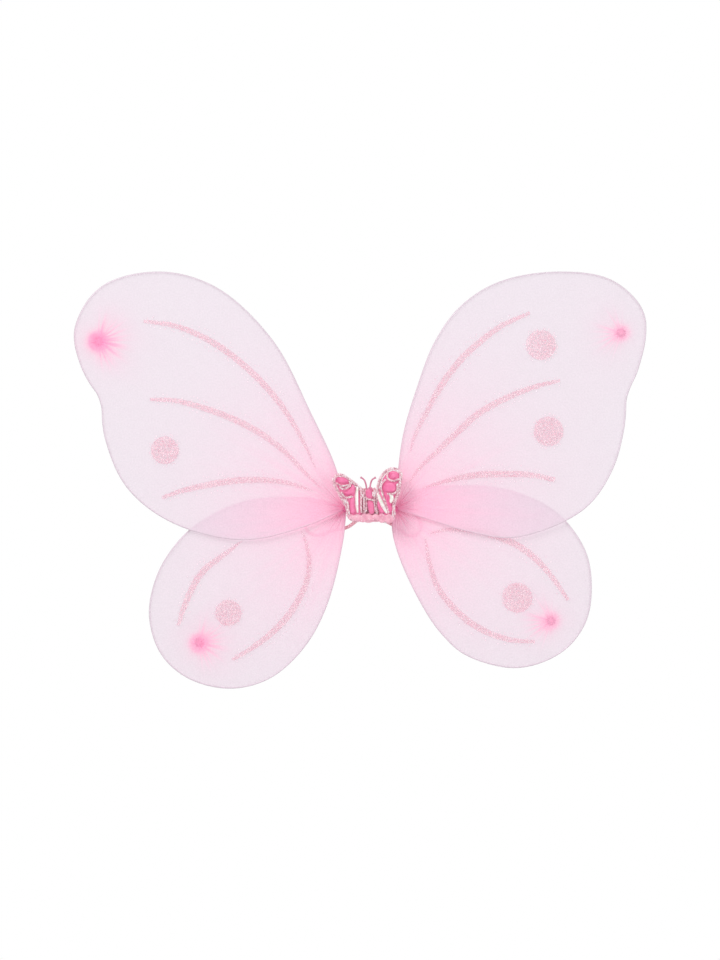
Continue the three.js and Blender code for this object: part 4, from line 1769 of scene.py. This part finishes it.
@dataclass
class ButterflyWing:
    """One wing of the satin butterfly: a padded satin panel with raised satin lobes, pearl foil
    strips and silver-pink rope round its edge and between its lobes."""

    side: Side
    lobes: Sequence[Places]
    foils: Sequence[tuple[Places, float]]
    cords: Sequence[Places]
    seed: int
    rope_radius: float = 1.5 * MM
    fit_gap: float = 0.3 * MM

    def build(self) -> None:
        """Makes the wing's satin, foil and rope."""
        node = f"butterfly_{self.side.value}_wing"
        loop = front_loop(node)
        panel = Panel.through(loop)
        outline = even_closed(flat(loop), 1.0 * MM)
        satin = puffed(outline, panel, -0.9 * MM, 1.1 * MM, 2.5 * MM, wrinkle=satin_wrinkle)
        for lobe in self.lobes:
            shape = even_closed(smooth_line(spots(*lobe), 0.6 * MM, closed=True), 0.7 * MM)
            satin.add(puffed(shape, panel, 0.0, 1.9 * MM, 2.6 * MM, 0.6 * MM, satin_wrinkle))
        prefix = f"butterfly_{self.side.value}"
        piece = place_piece(satin.build(f"{prefix}_satin"), HOT_SATIN, "centre", "pink_satin",
                            node)
        foil = Surface()
        for line, width in self.foils:
            drawn = even_line(smooth_line(spots(*line), 0.5 * MM), 0.7 * MM)
            shape = strip_outline(
                drawn, lambda share: width * MM * (0.35 + 0.65 * math.sin(math.pi * share) ** 0.5))
            foil.add(puffed(shape, panel, 0.2 * MM, 1.5 * MM, width / 2 * MM, 0.6 * MM))
        place_piece(foil.build(f"{prefix}_foil"), FOIL, "centre", "pink_satin")
        edge = offset_line(outline, self.rope_radius + self.fit_gap)
        self._rope(prefix, [[panel.at(point, -0.6 * MM) for point in edge]],
                   [[panel.at(point, 1.1 * MM) for point in
                     even_line(smooth_line(spots(*cord), 0.5 * MM), 0.8 * MM)]
                    for cord in self.cords])

    def _rope(self, prefix: str, round_edge: list, inner: list) -> None:
        """Lays the rope round the edge, the thinner rope inside and the glitter on both."""
        EDGE_ROPE.lay(f"{prefix}_edge_rope", round_edge, self.seed, closed=True,
                      stands_for=[f"butterfly_{self.side.value}_trim"])
        FINE_ROPE.lay(f"{prefix}_inner_rope", inner, self.seed + 1)
        tubes = Surface()
        tubes.add(swept(round_edge[0], self.rope_radius * 0.98, 8, closed=True))
        for line in inner:
            tubes.add(swept(line, 0.8 * MM, 6))
        source = tubes.build("glitter_source")
        set_cover(source)
        sprinkle(f"{prefix}_rope_glitter", source, "centre", 1.1e6, 0.34 * MM, 35, self.seed + 2)


def even_closed(outline: Line, spacing: float) -> list[Vector]:
    """A closed outline with its points an even distance apart."""
    return even_line([*outline, outline[0]], spacing)[:-1]


BUTTERFLY_WINGS = (
    ButterflyWing(Side.LEFT, seed=21, lobes=[
        [(-29.2, 31.2), (-24.5, 32.3), (-19.8, 30), (-18.9, 27.8), (-23, 26.6), (-28, 27.4)],
        [(-15.6, 26.2), (-13.4, 23.5), (-13.8, 18.4), (-17.2, 16.6), (-21.4, 16.4),
         (-23.2, 19), (-19.6, 21.4)],
        [(-14.2, 15.4), (-14, 8), (-13.6, 1.2), (-16.8, 0.4), (-18.6, 4.6), (-18.4, 10.6),
         (-17.6, 14)]],
        foils=[([(-11.5, 24.4), (-12.2, 16), (-12, 8), (-11.4, 1)], 3.4)],
        cords=[[(-9, 22.4), (-8.6, 15), (-8.8, 8), (-8.4, 1.4)],
               [(-6.5, 18.6), (-6.1, 12), (-6.4, 4)],
               [(-4.3, 20.6), (-4, 12), (-4.2, 2.6)],
               [(-29.6, 26.6), (-26.2, 24.8), (-21.5, 25), (-18, 26.4), (-16.4, 28.6)],
               [(-26.8, 23.6), (-24.8, 22), (-21, 22.9), (-18.2, 24.4)],
               [(-25.2, 19), (-23.4, 15.4), (-20.2, 14.6), (-16.4, 15.4)],
               [(-21.6, 12.8), (-20, 9), (-19.9, 3.2)]]),
    ButterflyWing(Side.RIGHT, seed=31, lobes=[
        [(17.6, 33.6), (18.6, 35.8), (20.9, 36), (22.6, 33.9), (22, 31.4), (19.8, 30.4),
         (17.9, 31.4)],
        [(12.8, 26.6), (17, 28), (21.2, 26.6), (22.6, 23), (21.4, 19.6), (16.6, 18.9),
         (12.2, 20), (11, 23)],
        [(7.4, 13.6), (9, 7.6), (12.4, 1.4), (9.4, 0.6), (6.4, 5), (6, 10.6)],
        [(14.2, 16.4), (15.4, 10.4), (18.9, 5.4), (18, 1.4), (15.8, 2), (13.8, 9),
         (12.8, 14.4)]],
        foils=[([(6.2, 18.6), (8.6, 12), (11.8, 5.6), (14.8, 0.4)], 4.1),
               ([(16.6, 18.4), (18.4, 14.8), (17.4, 9.6)], 3.6)],
        cords=[[(10.2, 18.8), (12, 13.6), (14.2, 7.8), (16.4, 1.6)],
               [(15.4, 36.6), (14.9, 32.6), (16.8, 29.9), (20.6, 28.9), (24.6, 30.4)],
               [(13.4, 30), (10.2, 26.6), (9.4, 22), (11, 18.6)],
               [(23.6, 26.4), (23.4, 20.6), (20.8, 18), (15, 17.6)],
               [(3.7, 22.6), (3.3, 16), (3.5, 9), (4.1, 2.4)]]),
)


@dataclass
class Butterfly:
    """The satin butterfly's padded base, body and feelers, and its two wings."""

    lean: float = math.radians(9)
    segment: float = 1.7 * MM
    fold_outline: Places = (
        (-19.2, -1.6), (-17.4, 0.2), (-14.6, -0.9), (-11.8, 0.4), (-8.6, -0.9), (-6.2, 0.9),
        (-3.4, 0.2), (-1.2, 1.2), (1.2, -0.5), (3.4, 0.6), (6.4, -0.6), (9.8, 0.9), (13, -0.7),
        (16.2, 0.3), (18.8, -1.4), (20.2, -4.4), (18.8, -7.2), (15.4, -7.8), (12.6, -6.8),
        (9.4, -7.7), (6.8, -5.9), (4.2, -4.9), (1.6, -6.3), (-1.4, -5.4), (-4.2, -6.6),
        (-7.2, -7.2), (-10.2, -6.2), (-13, -6.3), (-16, -5), (-18.8, -4))
    waist: Sequence[tuple[float, float, float]] = (
        (-4.8, 14.6, 2.6), (-2.6, 13.4, 0.7), (-0.4, 12.7, 0), (1.8, 12.3, 0.9),
        (3.6, 12.2, 2.8))
    feelers: dict[Side, Places] = field(default_factory=lambda: {
        Side.LEFT: [(-3.3, 21.2), (-4.2, 26.4), (-5.8, 30), (-8.8, 32.2)],
        Side.RIGHT: [(-0.6, 21.2), (0, 26.2), (1.4, 29.9), (4.6, 32)]})

    def base(self) -> None:
        """The padded satin that the butterfly is sewn to, creased along its lower edge."""
        loop = front_loop("butterfly_base")
        top = cad_box("butterfly_base")[1].z
        panel = Panel.through(loop)
        outline = []
        for point in even_closed(flat(loop), 0.9 * MM):
            below = max(0.0, -point.y / top)
            outline.append(point + Vector((0, 0.9 * MM * below * math.sin(point.x * 640))))

        def crease(point: Vector) -> float:
            """Shallow folds that run across the lower part, which swells out."""
            below = min(1.0, max(0.0, (1.5 * MM - point.y) / (6 * MM)))
            folds = math.sin(point.y * 1900 + 2.2 * math.sin(point.x * 210))
            return below * (1.5 + 0.4 * folds) * MM
        shape = puffed(outline, panel, -1.1 * MM, 1.0 * MM, 2.4 * MM, 0.8 * MM, crease)
        piece = place_piece(shape.build("butterfly_satin_base"), PALE_SATIN, "centre",
                            "pale_satin", "butterfly_base")

    def fold(self) -> None:
        """The pale satin turned up over the bottoms of both wings and creased along its edge."""
        left, right = (Panel.through(front_loop(f"butterfly_{side.value}_wing")) for side in Side)
        outline = even_closed(smooth_line(spots(*self.fold_outline), 0.6 * MM, closed=True),
                              0.7 * MM)

        def front(point: Vector) -> float:
            """The y of the nearer of the two wings' faces, rounded where they meet."""
            near, far = left.at(point).y, right.at(point).y
            return min(near, far) - 0.6 * MM * faded(abs(near - far), 1.2 * MM)

        def crease(point: Vector) -> float:
            """Gathers that fan down to the wavy edge."""
            folds = math.sin(point.x * 1250 + 1.9 * math.sin(point.y * 420))
            return (0.28 * folds + 0.5 * noise.noise(Vector((point.x, point.y, 0.7)) * 260)) * MM
        flat_panel = Panel(Vector((0, 0, 0)), FORWARD)
        shape = puffed(outline, flat_panel, 0.0, 0.75 * MM, 1.4 * MM, 0.6 * MM, crease)
        for point in shape.points:
            point.y += front(Vector((point.x, point.z))) - 0.9 * MM
        source = shape.build("fold_source")
        set_cover(source)
        sprinkle("butterfly_fold_glitter", source, "centre", 3.5e5, 0.34 * MM, 25, 43)
        piece = place_piece(shape.build("butterfly_satin_fold"), PALE_SATIN, "centre",
                            "pale_satin")

    def band(self) -> None:
        """The glitter rope that crosses the body's waist."""
        front = cad_box("butterfly_body")[0].y
        drawn = [Vector((x * MM, front + depth * MM, z * MM)) for x, z, depth in self.waist]
        line = even_line(smooth_line(drawn, 0.4 * MM), 0.5 * MM)
        FINE_ROPE.lay("butterfly_waist_rope", [line], 41)

    def body(self) -> None:
        """The body: a stuffed satin roll, bound into segments."""
        low, high = cad_box("butterfly_body")
        width = (high.y - low.y) / 2
        length = (high.z - low.z) / math.cos(self.lean)
        drawn = [Vector(point) for point in (
            (0, 0), (0.55, 0.03), (0.86, 0.13), (0.96, 0.3), (0.9, 0.46), (0.58, 0.57),
            (0.88, 0.66), (0.97, 0.8), (0.88, 0.92), (0.52, 0.985), (0, 1))]
        profile = [(max(0.0, point.x) * width, point.y * length)
                   for point in smooth_line(drawn, 0.02)]
        profile[0] = (0.0, 0.0)
        profile[-1] = (0.0, length)
        head = 0.57 * length

        def bind(angle: float, along: float) -> float:
            """Grooves where thread is wound round the roll, below the head."""
            if along > head:
                return 1 + 0.03 * math.sin(12 * angle)
            return 1 - 0.13 * max(0.0, math.cos(2 * math.pi * along / self.segment)) ** 3
        tail = Vector((1.3 * MM, (low.y + high.y) / 2, low.z))
        axis = Vector((-math.sin(self.lean), 0, math.cos(self.lean)))
        shape = turned(profile, 40, bind).moved(turn_to(axis, tail))
        place_piece(shape.build("butterfly_stuffed_body"), BODY_SATIN, "centre", "satin_cord",
                    "butterfly_body")

    def feeler(self, side: Side) -> None:
        """One feeler: a satin-bound wire that curls out and ends in a bead."""
        node = f"butterfly_{side.value}_antenna"
        depth = cad_middle(node).y
        drawn = [Vector((x * MM, depth, z * MM)) for x, z in self.feelers[side]]
        line = even_line(smooth_line(drawn, 0.3 * MM), 0.25 * MM)
        turns = line_length(line) / (0.7 * MM)
        shape = swept(line, lambda share: 0.74 * MM * (
            1 + 0.12 * math.sin(2 * math.pi * turns * share) + 0.5 * max(0, share - 0.88) * 8), 12)
        place_piece(shape.build(f"butterfly_{side.value}_feeler"), FEELER_SATIN, "centre",
                    "satin_cord", node)

    def build(self) -> None:
        """Makes the whole butterfly."""
        self.base()
        self.body()
        self.fold()
        self.band()
        for side in Side:
            self.feeler(side)
        for wing in BUTTERFLY_WINGS:
            wing.build()


# ------------------------------------------------------------------------------ studio


@dataclass
class Studio:
    """The camera, straight in front of the wings, plain white light and a pale floor far below."""

    middle: tuple[float, float] = (-0.0092, 0.0297)
    view_height: float = 0.839
    distance: float = 2.6
    floor_drop: float = 0.9
    floor_radius: float = 3.0
    surround: float = 0.66

    def camera(self) -> None:
        """Sets up the camera, level and square to the wings."""
        wing_plane = cad_middle("left_neck_knot").y
        data = bpy.data.cameras.new("front_camera")
        data.sensor_width = 36.0
        data.lens = data.sensor_width * self.distance / self.view_height
        camera = bpy.data.objects.new("front_camera", data)
        camera.location = (self.middle[0], wing_plane - self.distance, self.middle[1])
        camera.rotation_euler = (math.pi / 2, 0, 0)
        bpy.context.scene.collection.objects.link(camera)
        bpy.context.scene.camera = camera

    def floor(self) -> None:
        """Lays a pale round floor below the wings."""
        grid = bmesh.new()
        bmesh.ops.create_circle(grid, cap_ends=True, radius=self.floor_radius, segments=96)
        bmesh.ops.translate(grid, verts=grid.verts, vec=(0, 0, -self.floor_drop))
        mesh = bpy.data.meshes.new("studio_floor")
        grid.to_mesh(mesh)
        grid.free()
        floor = link("studio_floor", mesh)
        dress(floor, PAPER)

    def light(self) -> None:
        """Lights the wings with a white surround and three broad soft lamps."""
        world = bpy.data.worlds.new("white_surround")
        world.use_nodes = True
        tree = world.node_tree
        tree.nodes.clear()
        seen = add_node(tree, "ShaderNodeLightPath").outputs["Is Camera Ray"]
        strength = add_node(tree, "ShaderNodeMapRange", {
            "Value": seen, "To Min": self.surround, "To Max": 1.0}).outputs["Result"]
        back = add_node(tree, "ShaderNodeBackground", {
            "Color": (1, 1, 1, 1), "Strength": strength})
        add_node(tree, "ShaderNodeOutputWorld", {"Surface": back.outputs["Background"]})
        bpy.context.scene.world = world
        bpy.context.scene.view_settings.view_transform = "Standard"
        lamps = (("key_lamp", (-1.3, -1.6, 1.5), 1.2, 24.0),
                 ("fill_lamp", (1.6, -1.5, 0.3), 1.6, 10.0),
                 ("rear_lamp", (0.4, 1.8, 1.4), 1.6, 16.0))
        for name, place, size, power in lamps:
            data = bpy.data.lights.new(name, "AREA")
            data.shape, data.size, data.energy = "DISK", size, power
            lamp = bpy.data.objects.new(name, data)
            lamp.location = place
            lamp.rotation_euler = (-Vector(place)).to_track_quat("-Z", "Y").to_euler()
            bpy.context.scene.collection.objects.link(lamp)


def main() -> None:
    """Builds everything, the camera and the cords first."""
    logging.basicConfig(level=logging.INFO, format="%(message)s", stream=sys.stdout)
    studio = Studio()
    studio.camera()
    centre = Centre()
    tie = centre.strap_tie()
    for loop in ARM_LOOPS:
        loop.build(tie)
    for wing in WINGS:
        wing.build()
    centre.build()
    Butterfly().build()
    studio.floor()
    studio.light()


if __name__ == "__main__":
    main()
